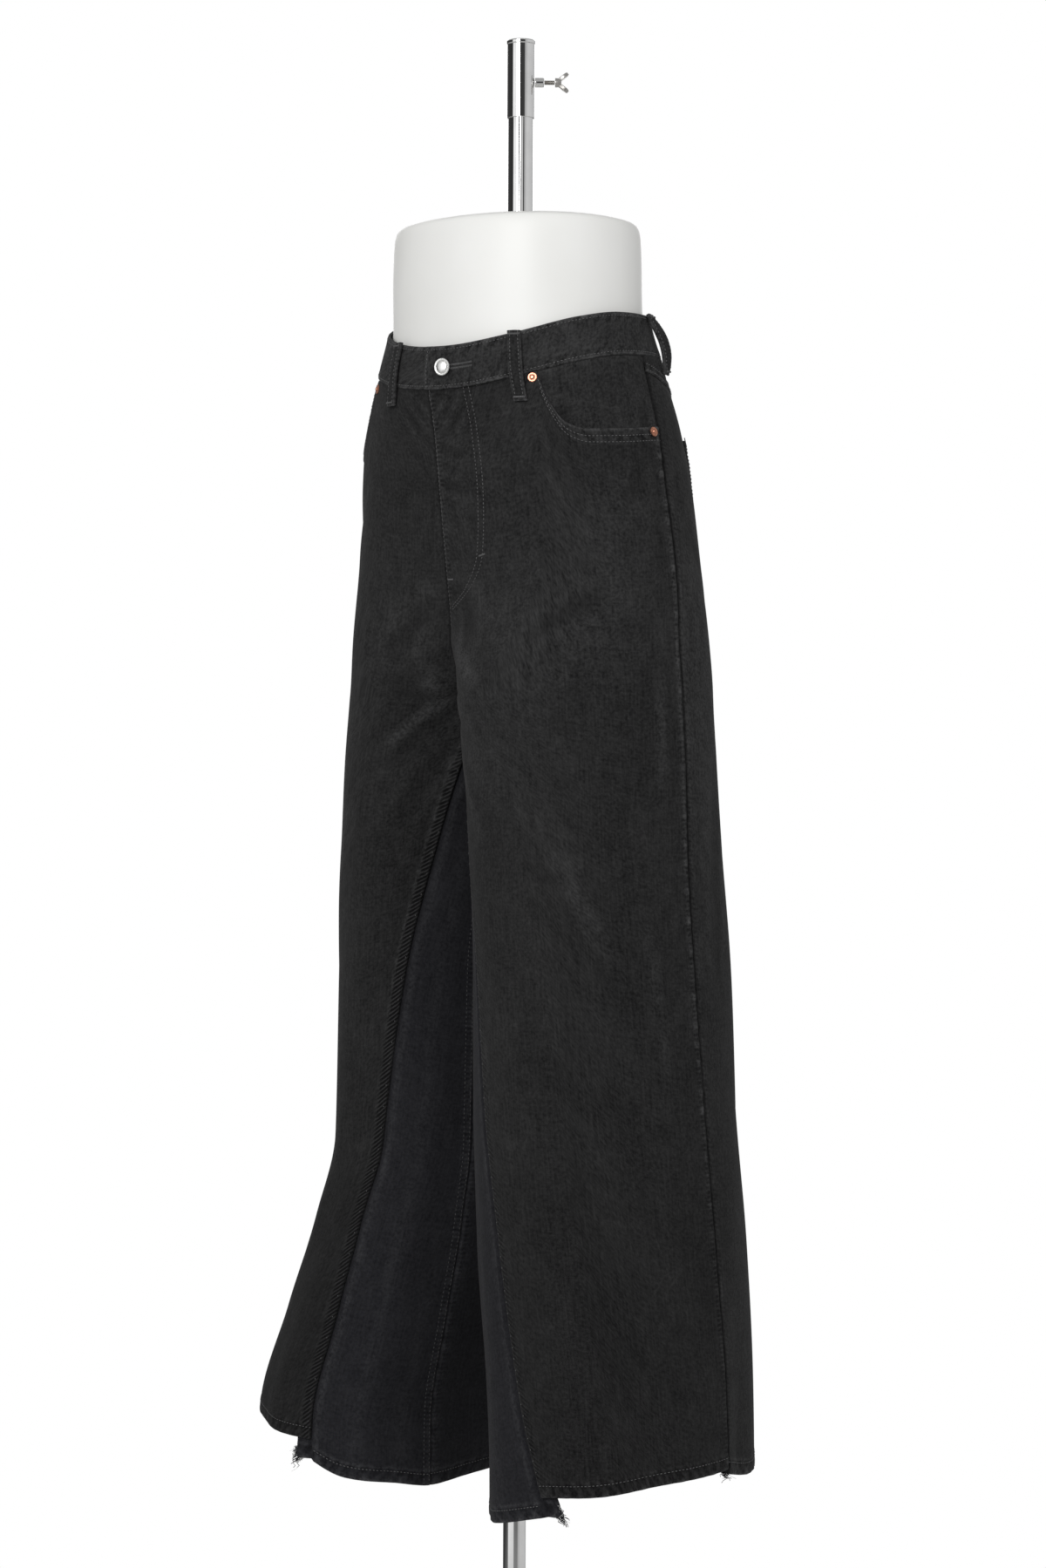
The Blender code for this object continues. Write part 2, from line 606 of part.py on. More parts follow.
def under_panel(side, front, panel, start, distance, dip):
    """Points under the panel's own facets, at a distance from its godet edge and at given heights."""
    distance = np.broadcast_to(distance, len(start))
    found = []
    for k, (_, _, z) in enumerate(start):
        ends = []
        for column_at, u in ((-1, 1.0), (-2, PANEL_COLUMNS[-2])):
            line = panel.points[::-1, column_at]
            if z >= line[0, 2]:
                ends.append(np.array([np.interp(z, line[:, 2], line[:, axis]) for axis in (0, 1)]))
            else:
                ends.append(panel_base(side, front, u, z))
        along = ends[1] - ends[0]
        line = panel.points[::-1, -1, 2]
        normal = [np.interp(z, line, panel.normals[::-1, -2:, axis].mean(axis=1)) for axis in range(3)]
        flat = ends[0] + along * distance[k] / np.linalg.norm(along)
        found.append(np.array((*flat, z)) - np.array(normal) / np.linalg.norm(normal) * dip[k])
    return np.array(found)


def edge_lift(cloth, edge, width, height):
    """How far each point of a panel rises for the allowance folded under one of its side edges."""
    start = cloth.points[:, edge][:, None]
    distance = np.linalg.norm(cloth.points - start, axis=2)
    return height * (1 - np.clip(distance / width, 0, 1)) ** 0.5


def hem_thickness(cloth):
    """Wall thickness of a panel whose last two rows are a turned hem."""
    thickness = np.full(cloth.points.shape[:2], DENIM)
    thickness[-2:] += HEM_FOLD
    return thickness


def garment_outside(side, degrees, z):
    """A point on the hips by angle and height, and its outward normal, for pieces laid on the cloth."""
    def at(angle, height):
        return np.array((*hip_point(side, angle, height), height))

    point = at(degrees, z)
    across = at(degrees + 1, z) - at(degrees - 1, z)
    down = at(degrees, z - 0.004) - at(degrees, z + 0.004)
    normal = np.cross(across, down)
    normal /= np.linalg.norm(normal)
    middle = np.array((*hip_ring(z)[:2], z))
    if np.dot(normal, point - middle) < 0:
        normal = -normal
    return point, normal, across * (1 if side > 0 else -1) / np.linalg.norm(across)


def band_lift(turned_by):
    """How far the band stands out where its left end laps over its right end."""
    return (BAND_THICK + LAYER_GAP) * (1 - ease((turned_by - BAND_LAP - 4) / 22))


def waistband(material, parts):
    """The band from its left end, which laps over the right end, round the back."""
    rows = [[], [], []]
    lifts = []
    for i in range(BAND_STEPS + 1):
        turned_by = (360 + BAND_LAP) * i / BAND_STEPS
        degrees = -BAND_START - turned_by
        lifts.append(band_lift(turned_by))
        top = waist_top(*hip_point(1, degrees, WAIST_READ))
        for row, share in zip(rows, (0.0, 0.5, 1.0)):
            z = top - share * WAISTBAND_DEPTH
            row.append((*hip_point(1, degrees, z), z))
    cloth = Cloth(rows, flip=True)
    return wall_object("waistband", material, cloth.lifted(lifts), BAND_THICK, parts)


def yoke(side):
    rows = []
    for share in (0.0, 0.5, 1.0):
        row = []
        for u in PANEL_COLUMNS:
            z = waist_edge(side, False, u) - share * mix(YOKE_SIDE, YOKE_MIDDLE, u)
            row.append((*panel_base(side, False, u, z), z))
        rows.append(row)
    points = np.array(rows)
    trim_edge(points, 0, 1, SEAM_GAP / 2)
    trim_edge(points, -1, -2, SEAM_GAP / 2)
    return Cloth(points, flip=side > 0)


def opening_height(distance, top):
    """Height of the pocket opening's edge at a distance from the outseam."""
    shares, heights = (column(OPENING_EDGE, OPENING_COLUMNS, name) for name in OPENING_COLUMNS)
    return min(smooth_at(shares, heights, distance / OPENING_WIDTH), top)


def opening_cutter(side):
    """A curved block over the pocket opening: it passes the waist seam and the outseam."""
    shares = 1 - (1 - np.linspace(0, 1, OPENING_STEPS)) ** 2
    rows = [[], [], []]
    for share in shares:
        distance = mix(-OPENING_PAST, OPENING_WIDTH, share)
        u = distance / front_width(side)
        high = waist_edge(side, True, u) + OPENING_ABOVE
        low = min(opening_height(distance, waist_edge(side, True, u)), high - OPENING_ABOVE / 2)
        for row, down in zip(rows, (0.0, 0.5, 1.0)):
            z = mix(high, low, down)
            row.append((*panel_base(side, True, u, z), z))
    cloth = Cloth(rows, flip=side < 0).lifted(CUTTER_REACH)
    cutter = wall_object(f"opening_cutter_{side_name(side)}", None, cloth, 2 * CUTTER_REACH, cutters())
    return hide(cutter)


def front_width(side):
    """Length of the front panel along the cloth at pocket height."""
    z = 1.235
    line = np.array([panel_base(side, True, u, z) for u in np.linspace(0, 1, 40)])
    return float(np.linalg.norm(np.diff(line, axis=0), axis=1).sum())


def join(target, other, operation):
    """Adds an exact Boolean to the target."""
    modifier = target.modifiers.new(operation.lower(), "BOOLEAN")
    modifier.operation = operation
    modifier.solver = "EXACT"
    modifier.object = other


def prism(name, outline, near, far):
    """A helper with an outline in x and z, reaching in y from near to far."""
    bm = bmesh.new()
    face = bm.faces.new([bm.verts.new((x, near, z)) for x, z in outline])
    grown = bmesh.ops.extrude_face_region(bm, geom=[face])["geom"]
    bmesh.ops.translate(bm, verts=[v for v in grown if isinstance(v, bmesh.types.BMVert)], vec=(0, far - near, 0))
    bmesh.ops.recalc_face_normals(bm, faces=bm.faces)
    return hide(finish_mesh(name, None, bm, cutters()))


def back_pocket(side, back, material, parts):
    """A five-sided patch on the back panel: its points are the panel's, moved out."""
    sizes = BACK_POCKET
    near, far = sizes["middle_gap"], sizes["middle_gap"] + sizes["width"]
    middle, top = (near + far) / 2, sizes["top"]
    outline = (
        (near, top + 0.004), (near + 0.004, top - sizes["side_drop"]), (middle, top - sizes["point_drop"]),
        (far - 0.010, top - sizes["side_drop"]), (far, top - 0.004),
    )
    outline = [(side * x, z) for x, z in outline]
    patch = back.lifted(POCKET_LIFT + DENIM, slice(0, 7))
    pocket = wall_object(f"back_pocket_{side_name(side)}", material, patch, DENIM, parts)
    join(pocket, prism(f"back_pocket_outline_{side_name(side)}", outline, 0.03, 0.25), "INTERSECT")


def pocket_facing(side, front, material, parts):
    """The cloth seen in the pocket's opening, under the front panel."""
    covered = slice(0, FACING_ROWS), slice(0, FACING_COLUMNS)
    layer = DENIM + LAYER_GAP
    if side < 0:
        x0, x1 = COIN_POCKET_X
        outline = ((x0, COIN_POCKET_TOP), (x1, COIN_POCKET_TOP), (x1, 1.0), (x0, 1.0))
        coin = wall_object("coin_pocket", material, front.lifted(-layer, *covered), DENIM, parts)
        join(coin, prism("coin_pocket_outline", outline, -0.20, 0.0), "INTERSECT")
        layer = 2 * layer
    wall_object(f"pocket_facing_{side_name(side)}", material, front.lifted(-layer, *covered), DENIM, parts)


def side_name(side):
    return "left" if side > 0 else "right"


def belt_loop(row, material, parts):
    name, side, degrees, bow, lean, twist, below = row
    top = waist_top(*hip_point(side, degrees, WAIST_READ)) + LOOP_ABOVE
    foot = top - LOOP_ABOVE - WAISTBAND_DEPTH - below
    turned_by = -BAND_START - degrees if side > 0 else 360.0
    rows = []
    for i in range(LOOP_STATIONS):
        t = i / (LOOP_STATIONS - 1)
        base, normal, across = garment_outside(side, degrees, mix(top, foot, t))
        bowed = math.sin(math.pi * t) ** 0.8
        turn = math.radians(twist) * bowed
        width_across, width_out = LOOP_WIDTH * math.cos(turn), -LOOP_WIDTH * math.sin(turn)
        away = bow * bowed + LOOP_THICK + LOOP_GAP + band_lift(turned_by)
        rows.append([
            base + across * (share * width_across + lean * t * side) + normal * (away + share * width_out)
            for share in (-0.5, 0.5)
        ])
    wall_object(name, material, Cloth(rows), LOOP_THICK, parts)


def turned(name, profile, material, parts, place=None, sides=28, closed=False):
    """A round piece: a profile of radius and height, from the top down its outer side, turned about an axis."""
    mesh = bpy.data.meshes.new(name)
    edges = [(i, i + 1) for i in range(len(profile) - 1)]
    if closed:
        edges.append((len(profile) - 1, 0))
    mesh.from_pydata([(radius, 0, height) for radius, height in profile], edges, [])
    mesh.materials.append(material)
    obj = bpy.data.objects.new(name, mesh)
    turn = obj.modifiers.new("turn", "SCREW")
    turn.axis = "Z"
    turn.steps = turn.render_steps = sides
    turn.use_merge_vertices = True
    turn.merge_threshold = 0.00001
    obj.matrix_world = place or Matrix.Identity(4)
    parts.objects.link(obj)
    return obj


def rod(name, radius, low, high, material, parts, place=None, sides=28):
    return turned(name, ((0, high), (radius, high), (radius, low), (0, low)), material, parts, place, sides)


def upright_on(point, normal):
    """A matrix that stands +Z along a direction at a point."""
    return Matrix.Translation(Vector(point)) @ Vector(normal).to_track_quat("Z", "Y").to_matrix().to_4x4()


def button(material, parts):
    top = waist_top(*hip_point(1, BUTTON_ANGLE, WAIST_READ))
    point, normal, _ = garment_outside(1, BUTTON_ANGLE, top - BUTTON_DROP)
    foot = point + normal * (band_lift(-BAND_START - BUTTON_ANGLE) + BUTTON_GAP)
    leaning = normal + np.array([1.0, -1.0, 0.0]) * BUTTON_LEAN * math.sqrt(0.5)
    turned("button", BUTTON_PROFILE, material, parts, upright_on(foot, leaning / np.linalg.norm(leaning)), 24)


def rivet(row, panel, material, parts):
    """A rivet that stands on a facet of the panel's grid."""
    name, side, from_outseam, z = row
    u = from_outseam / front_width(side)
    j = int(np.searchsorted(PANEL_COLUMNS, u)) - 1
    t = (u - PANEL_COLUMNS[j]) / (PANEL_COLUMNS[j + 1] - PANEL_COLUMNS[j])
    line = mix(panel.points[:, j], panel.points[:, j + 1], t)
    i = int(np.searchsorted(-line[:, 2], -z)) - 1
    point = mix(line[i], line[i + 1], (line[i, 2] - z) / (line[i, 2] - line[i + 1, 2]))
    normal = np.cross(panel.points[i, j + 1] - panel.points[i, j], line[i + 1] - line[i]) * side
    normal /= np.linalg.norm(normal)
    turned(name, RIVET_PROFILE, material, parts, upright_on(point + normal * METAL_GAP, normal), 16)


def hip_form(material, parts):
    """A smooth closed form with a bore for the pole down its middle."""
    bm = bmesh.new()
    turns = [2 * math.pi * k / FORM_SIDES for k in range(FORM_SIDES)]
    rings = [
        [
            bm.verts.new((*on_ring(FORM_SHIFT, back, half_width, half_depth, FORM_SQUARE, 1, -math.degrees(a)), z))
            for a in turns
        ]
        for z, half_width, half_depth, back in FORM_RINGS
    ]
    rings += [
        [bm.verts.new((FORM_BORE * math.cos(a), FORM_BORE * math.sin(a), z)) for a in turns]
        for z in (FORM_RINGS[-1][0], FORM_TOP)
    ]
    for first, second in zip(rings, rings[1:] + rings[:1]):
        for k in range(FORM_SIDES):
            after = (k + 1) % FORM_SIDES
            bm.faces.new((first[k], second[k], second[after], first[after]))
    finish_mesh("hip_form", material, bm, parts)


def stand(chrome, steel, parts):
    turned("base_plate", ((0, BASE_THICK), (BASE_RADIUS - 0.003, BASE_THICK), (BASE_RADIUS, BASE_THICK - 0.003),
                          (BASE_RADIUS, 0.002), (BASE_RADIUS - 0.002, 0), (0, 0)), steel, parts, sides=48)
    low = BASE_THICK + FIT_GAP
    bore = POLE_RADIUS + FIT_GAP
    turned("base_collar", ((bore, low + COLLAR_HEIGHT), (COLLAR_RADIUS - 0.003, low + COLLAR_HEIGHT),
                           (COLLAR_RADIUS, low + COLLAR_HEIGHT - 0.003), (COLLAR_RADIUS, low), (bore, low)),
           steel, parts, closed=True)
    rod("pole", POLE_RADIUS, low, TUBE_LOW - FIT_GAP, chrome, parts)
    rod("upper_tube", TUBE_RADIUS, TUBE_LOW, TUBE_HIGH, chrome, parts)
    inside, top = TUBE_RADIUS + FIT_GAP, SLEEVE_HIGH
    turned("clamp_sleeve", ((0, top), (SLEEVE_LIP - 0.0012, top), (SLEEVE_LIP, top - 0.0010),
                            (SLEEVE_LIP, top - LIP_HEIGHT + 0.0006), (SLEEVE_RADIUS, top - LIP_HEIGHT),
                            (SLEEVE_RADIUS, SLEEVE_LOW), (inside, SLEEVE_LOW), (inside, TUBE_HIGH + FIT_GAP),
                            (0, TUBE_HIGH + FIT_GAP)), chrome, parts)
    rod_at = Matrix.Rotation(-CLAMP_YAW, 4, "Z") @ Vector((TUBE_RADIUS + FIT_GAP + ROD_RADIUS, 0, 0))
    rod("guide_rod", ROD_RADIUS, FORM_TOP + FIT_GAP, SLEEVE_LOW - FIT_GAP, chrome, parts,
        Matrix.Translation(rod_at), 14)
    across = upright_on((0, 0, CLAMP_Z), (math.cos(CLAMP_YAW), math.sin(CLAMP_YAW), 0))
    end = CLAMP_START + BOSS_LONG
    turned("clamp_boss", ((0, end), (0.0040, end), (0.0047, end - 0.0010), (0.0047, CLAMP_START), (0, CLAMP_START)),
           chrome, parts, across, 18)
    rod("clamp_screw", 0.0023, end + FIT_GAP, end + FIT_GAP + SCREW_LONG, steel, parts, across, 14)
    wing_nut(end + 2 * FIT_GAP + SCREW_LONG, steel, parts, across)


def wing_nut(start, material, parts, place):
    """A hub with two wings that lean outward."""
    bm = bmesh.new()
    hub = bmesh.ops.create_cone(bm, cap_ends=True, segments=14, radius1=0.0046, radius2=0.0040, depth=NUT_LONG)
    bmesh.ops.translate(bm, verts=hub["verts"], vec=(0, 0, start + NUT_LONG / 2))
    bmesh.ops.transform(bm, matrix=place, verts=bm.verts)
    nut = finish_mesh("wing_nut", material, bm, parts)
    for sign in (-1, 1):
        wing = bmesh.new()
        made = bmesh.ops.create_cube(wing, size=1)
        bmesh.ops.scale(wing, verts=made["verts"], vec=(0.0036, 0.0030, 0.0100))
        tilt = Matrix.Rotation(sign * math.radians(38), 4, "X")
        move = Matrix.Translation((0, -sign * 0.0052, start + 0.0078))
        bmesh.ops.transform(wing, matrix=place @ move @ tilt, verts=wing.verts)
        bmesh.ops.bevel(wing, geom=list(wing.edges), offset=0.0009, segments=1, affect="EDGES")
        helper = finish_mesh("wing_near" if sign < 0 else "wing_far", material, wing, cutters())
        join(nut, hide(helper), "UNION")


def cutters():
    name = "cutters"
    if name not in bpy.data.collections:
        bpy.context.scene.collection.children.link(bpy.data.collections.new(name))
    return bpy.data.collections[name]


def hide(obj):
    obj.hide_render = True
    obj.display_type = "WIRE"
    return obj


def main():
    for obj in list(bpy.data.objects):
        bpy.data.objects.remove(obj)
    parts = bpy.data.collections.new("baggy_jeans_on_hip_form")
    bpy.context.scene.collection.children.link(parts)
    denim = make_material("washed black denim", (0.022, 0.022, 0.023), 0.92)
    insert = make_material("blue black denim", (0.013, 0.013, 0.016), 0.92)
    copper = make_material("copper", (0.60, 0.25, 0.16), 0.35, 1.0)
    nickel = make_material("nickel", (0.75, 0.75, 0.73), 0.3, 1.0)
    chrome = make_material("chrome", (0.78, 0.78, 0.76), 0.08, 1.0)
    steel = make_material("steel", (0.60, 0.60, 0.58), 0.3, 1.0)
    white = make_material("white form", (0.84, 0.84, 0.82), 0.45)

    first_godet_row = LEVELS.index(GODET_TOP)
    below, above, every = slice(first_godet_row, None), slice(0, first_godet_row), slice(None)
    fronts = {side: leg_panel(side, True) for side in (1, -1)}
    backs = {side: leg_panel(side, False) for side in (1, -1)}
    godets = {
        side: (godet_panel(side, 0.0, 0.5, fronts[side]), godet_panel(side, 0.5, 1.0, backs[side]))
        for side in (1, -1)
    }
    yokes = {side: yoke(side) for side in (1, -1)}
    for side in (1, -1):
        share_normals((fronts[side], every, 0), (backs[side], every, 0))
        share_normals((godets[side][0], every, -1), (godets[side][1], every, 0))
    share_normals((fronts[1], above, -1), (fronts[-1], above, -1))
    share_normals((backs[1], above, -1), (backs[-1], above, -1))
    share_normals((yokes[1], every, -1), (yokes[-1], every, -1))

    outside = {}
    for side in (1, -1):
        name = side_name(side)
        lift = edge_lift(fronts[side], 0, 0.016, SEAM_RIDGE)
        if side > 0:
            lap = edge_lift(fronts[side], -1, 0.045, FLY_LIFT)
            lift = lift + lap * np.array([ease((level - 1.0) / 0.03) for level in LEVELS])[:, None]
        outside[side] = fronts[side].lifted(lift)
        front = wall_object(f"front_panel_{name}", denim, outside[side], hem_thickness(fronts[side]), parts)
        join(front, opening_cutter(side), "DIFFERENCE")
        wall_object(f"back_panel_{name}", denim, backs[side], hem_thickness(backs[side]), parts)
        wall_object(f"yoke_{name}", denim, yokes[side], DENIM, parts)
        wall_object(f"godet_front_{name}", insert, godets[side][0], hem_thickness(godets[side][0]), parts)
        wall_object(f"godet_back_{name}", insert, godets[side][1], hem_thickness(godets[side][1]), parts)
        pocket_facing(side, fronts[side], denim, parts)
        back_pocket(side, backs[side], denim, parts)

    waistband(denim, parts)
    for row in BELT_LOOPS:
        belt_loop(row, denim, parts)
    for row in RIVETS:
        rivet(row, outside[row[1]], copper, parts)
    button(nickel, parts)
    hip_form(white, parts)
    stand(chrome, steel, parts)


main()
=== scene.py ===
"""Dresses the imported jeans: fine cloth, stitches, metal trim, the form and its stand.

Metres, +Z up. The wearer faces -Y and the wearer's left is +X, as in the part's own source. The tables of
rings, seams, hems and pockets repeat the ones that the solids are made from, so every piece of cloth here is
a thin shell on its solid's own form.
"""

import math

import bpy
import numpy as np
from mathutils import Matrix, Vector


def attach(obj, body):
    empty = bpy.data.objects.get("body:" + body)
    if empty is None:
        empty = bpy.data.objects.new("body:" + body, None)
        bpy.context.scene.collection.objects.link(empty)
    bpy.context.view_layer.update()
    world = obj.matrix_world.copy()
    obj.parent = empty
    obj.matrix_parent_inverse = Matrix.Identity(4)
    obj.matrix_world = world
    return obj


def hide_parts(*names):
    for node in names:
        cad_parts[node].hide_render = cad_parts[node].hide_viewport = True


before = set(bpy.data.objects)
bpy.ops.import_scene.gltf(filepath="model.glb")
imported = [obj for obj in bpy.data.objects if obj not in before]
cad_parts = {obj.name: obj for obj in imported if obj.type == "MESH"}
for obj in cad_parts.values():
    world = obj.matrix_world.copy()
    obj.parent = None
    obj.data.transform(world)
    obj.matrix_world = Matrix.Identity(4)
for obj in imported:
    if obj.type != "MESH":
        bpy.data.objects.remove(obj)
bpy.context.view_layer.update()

SIDE_NAME = {1: "left", -1: "right"}

# Cloth
DENIM = 0.0016
HEM_FOLD = 0.0010
WAIST_GAP = 0.0011
BAND_REACH = 0.0009         # the worn band's lower edge hangs this much nearer to the panels than the solid's
LAYER_GAP = 0.0004
SEAM_RIDGE = 0.0008
FLY_LIFT = 0.0013
SEAM_GAP = 0.0002

# Heights
WAIST_TILT = 0.008
WAISTBAND_DEPTH = 0.040
WAIST_READ = 1.270
CROTCH = 0.955
NOMINAL_HEM = 0.200
HEM_DEPTH = 0.015
BLEND_TOP = 1.090
GODET_TOP = 0.950
BELOW_GODET_TOP = 0.93      # the godet's seam and its ticks are full from here down
ABOVE_CROTCH = 0.985        # the fly and the rise seam start here
CROTCH_FADE = 0.890
CROTCH_APART = 0.0011
TOP_ZONE = 1.150            # the grid's rows are level below this
HEM_ZONE = 0.030            # and closer together this far above a hem

HIP_COLUMNS = ("z", "right", "left", "front", "back", "square", "outseam")
HIP_RINGS = (
    (1.335, -0.1355, 0.1335, -0.1120, 0.1130, 2.12, -13),
    (1.320, -0.1368, 0.1345, -0.1125, 0.1138, 2.12, -13),
    (1.270, -0.1590, 0.1495, -0.1130, 0.1225, 2.12, -7),
    (1.210, -0.1815, 0.1685, -0.1075, 0.1250, 2.25, -3),
    (1.150, -0.1895, 0.1800, -0.1035, 0.1285, 2.35, -1),
    (1.080, -0.1925, 0.1890, -0.1080, 0.1340, 2.35, -2),
    (1.020, -0.1940, 0.1975, -0.1130, 0.1390, 2.30, -2),
    (0.940, -0.1980, 0.2050, -0.1160, 0.1420, 2.20, -2),
)
LEG_COLUMNS = ("z", "inner", "outer", "front", "back", "square", "outseam",
               "godet_front", "godet_mid", "godet_back")
LEG_RINGS = {
    1: (
        (1.090, -0.030, 0.193, -0.118, 0.130, 2.0, -2, 180, 181, 182),
        (1.020, -0.030, 0.201, -0.122, 0.130, 2.0, -2, 180, 181, 182),
        (0.955, -0.0285, 0.209, -0.124, 0.128, 2.0, -3, 180, 181, 182),
        (0.890, -0.027, 0.211, -0.117, 0.131, 2.0, -2, 151, 184, 211),
        (0.785, -0.026, 0.213, -0.109, 0.138, 2.0, 0, 129, 189, 231),
        (0.685, -0.0255, 0.2155, -0.1065, 0.145, 2.0, -1, 118, 193, 243),
        (0.570, -0.0255, 0.2200, -0.1070, 0.152, 2.0, -3, 110, 195, 252),
        (0.430, -0.0240, 0.2245, -0.1045, 0.166, 2.0, -5, 99, 194, 262),
        (0.300, -0.0235, 0.2270, -0.0960, 0.172, 2.0, -8, 91, 192, 270),
        (0.160, -0.0245, 0.2280, -0.0910, 0.174, 2.0, -10, 74, 190, 278),
    ),
    -1: (
        (1.090, 0.030, 0.191, -0.108, 0.142, 2.0, -2, 161, 162, 163),
        (1.020, 0.030, 0.198, -0.098, 0.152, 2.0, -2, 161, 162, 163),
        (0.955, 0.0305, 0.210, -0.087, 0.160, 2.0, -3, 161, 162, 163),
        (0.890, 0.031, 0.221, -0.086, 0.172, 2.0, -3, 146, 160, 194),
        (0.785, 0.030, 0.230, -0.086, 0.185, 2.0, -3, 130, 156, 224),
        (0.685, 0.0305, 0.2345, -0.0855, 0.190, 2.0, -3, 118, 151, 240),
        (0.520, 0.031, 0.2380, -0.087, 0.193, 2.0, -3, 107, 150, 250),
        (0.440, 0.033, 0.2475, -0.1055, 0.185, 2.0, -4, 104, 152, 256),
        (0.350, 0.049, 0.2650, -0.129, 0.175, 2.0, -5, 107, 157, 262),
        (0.250, 0.071, 0.2920, -0.1445, 0.171, 2.0, -6, 109, 161, 266),
        (0.160, 0.077, 0.2960, -0.146, 0.169, 2.0, -6, 110, 163, 268),
    ),
}
RISE_COLUMNS = ("z", "x", "y")
RISES = {
    True: (
        (0.955, -0.0290, 0.000),
        (0.958, -0.0290, -0.020),
        (0.975, -0.0285, -0.047),
        (1.000, -0.0250, -0.064),
        (1.030, -0.0170, -0.0740),
        (1.080, -0.0105, -0.0880),
        (1.150, -0.0080, -0.1000),
        (1.210, -0.0090, -0.1065),
        (1.250, -0.0110, -0.1115),
        (1.320, -0.0120, -0.1122),
    ),
    False: (
        (0.955, -0.0290, 0.000),
        (0.958, -0.0290, 0.030),
        (0.972, -0.0280, 0.072),
        (1.000, -0.0250, 0.108),
        (1.045, -0.0180, 0.130),
        (1.110, -0.0080, 0.1335),
        (1.200, 0.0000, 0.1290),
        (1.320, 0.0000, 0.1160),
    ),
}
WAIST_COLUMNS = ("y", "height")
WAIST_TOPS = (
    (-0.1130, 1.2855),
    (-0.0920, 1.2955),
    (-0.0450, 1.3115),
    (0.0030, 1.3190),
    (0.0640, 1.3210),
    (0.1160, 1.3220),
)
# Soft drape folds down a leg: side, start, angle where it starts, angle at the hem, half width, rise
FOLDS = (
    (1, 0.62, 62, 55, 13, 0.0045),
    (1, 0.50, 34, 30, 11, -0.0040),
    (1, 0.42, -16, -22, 9, -0.0075),
    (1, 0.52, -56, -62, 13, 0.0050),
    (1, 0.60, -84, -88, 15, -0.0060),
    (1, 0.50, 112, 104, 11, 0.0050),
    (1, 0.45, 140, 132, 13, -0.0055),
    (1, 0.50, 216, 222, 14, 0.0070),
    (-1, 0.60, 74, 70, 12, -0.0040),
    (-1, 0.55, 128, 134, 12, 0.0050),
    (-1, 0.50, 166, 178, 13, -0.0060),
    (-1, 0.55, -30, -34, 13, -0.0060),
    (-1, 0.60, -62, -66, 14, 0.0070),
    (-1, 0.55, 226, 230, 14, -0.0070),
)
HEM_COLUMNS = ("u", "height")
PANEL_HEMS = {
    (1, True): ((0.0, 0.2240), (0.30, 0.2190), (0.70, 0.2080), (1.0, 0.2030)),
    (-1, True): ((0.0, 0.2460), (0.45, 0.2440), (0.80, 0.2330), (1.0, 0.2285)),
    (1, False): ((0.0, 0.2195), (0.30, 0.2110), (1.0, 0.2150)),
    (-1, False): ((0.0, 0.2460), (0.40, 0.2380), (1.0, 0.2300)),
}
GODET_HEMS = {
    1: ((0.0, 0.1850), (0.18, 0.1680), (0.38, 0.1625), (0.50, 0.1730), (0.80, 0.1860), (1.0, 0.1950)),
    -1: ((0.0, 0.2090), (0.15, 0.1930), (0.35, 0.1855), (0.50, 0.1795), (0.62, 0.1850), (0.85, 0.1960),
         (1.0, 0.2050)),
}
ALLOWANCE_AT_TOP = 0.006
ALLOWANCE_AT_HEM = 0.016
ALLOWANCE_GAP = 0.0015
SHOULDER = 0.0045

OPENING_WIDTH = 0.133
OPENING_COLUMNS = ("share", "height")
OPENING_EDGE = (
    (0.0, 1.2085),
    (0.390, 1.2045),
    (0.690, 1.2035),
    (0.850, 1.2100),
    (0.943, 1.2275),
    (0.980, 1.2450),
    (1.0, 1.2620),
)
YOKE_SIDE = 0.016
YOKE_MIDDLE = 0.066
BACK_POCKET = {"width": 0.114, "side_drop": 0.132, "point_drop": 0.156, "top": 1.205, "middle_gap": 0.030}
POCKET_LIFT = 0.0007
COIN_POCKET_X = (-0.158, -0.092)
COIN_POCKET_TOP = 1.2440

BAND_THICK = DENIM * 1.3
BAND_START = -93.0
BAND_LAP = 17.0
LOOP_WIDTH = 0.0135
LOOP_THICK = DENIM * 1.2
LOOP_GAP = 0.0003
LOOP_ABOVE = 0.0010
# Belt loops: name, side, angle, how far it bows out, leans and twists, and how far it reaches below the band
BELT_LOOPS = (
    ("belt_loop_front_left", 1, 53.7, 0.0030, 0.0055, 0, 0.0260),
    ("belt_loop_front_right", -1, 69.0, 0.0020, 0.002, 0, 0.0190),
    ("belt_loop_side_left", 1, -25.0, 0.0085, 0.000, 28, 0.0190),
    ("belt_loop_side_right", -1, -30.0, 0.0030, 0.000, 0, 0.0190),
    ("belt_loop_back", 1, -90.0, 0.0030, 0.000, 0, 0.0190),
)
BUTTON_ANGLE = 84.1
BUTTON_LEAN = 0.47
BUTTON_GAP = 0.0010
BUTTON_DROP = 0.0205
BUTTON_PROFILE = (
    (0, 0.0055), (0.0029, 0.0054), (0.0049, 0.0050), (0.0059, 0.0044), (0.0063, 0.0040), (0.0068, 0.0042),
    (0.0076, 0.0042), (0.0082, 0.0037), (0.0083, 0.0027), (0.0079, 0.0021), (0.0038, 0.0018), (0.0032, 0),
    (0, 0),
)
RIVET_PROFILE = (
    (0, 0.0023), (0.0009, 0.0024), (0.0016, 0.0022), (0.0019, 0.0015), (0.0023, 0.0012), (0.0031, 0.0014),
    (0.0040, 0.0014), (0.0046, 0.0009), (0.0047, 0.0002), (0.0047, 0), (0, 0),
)
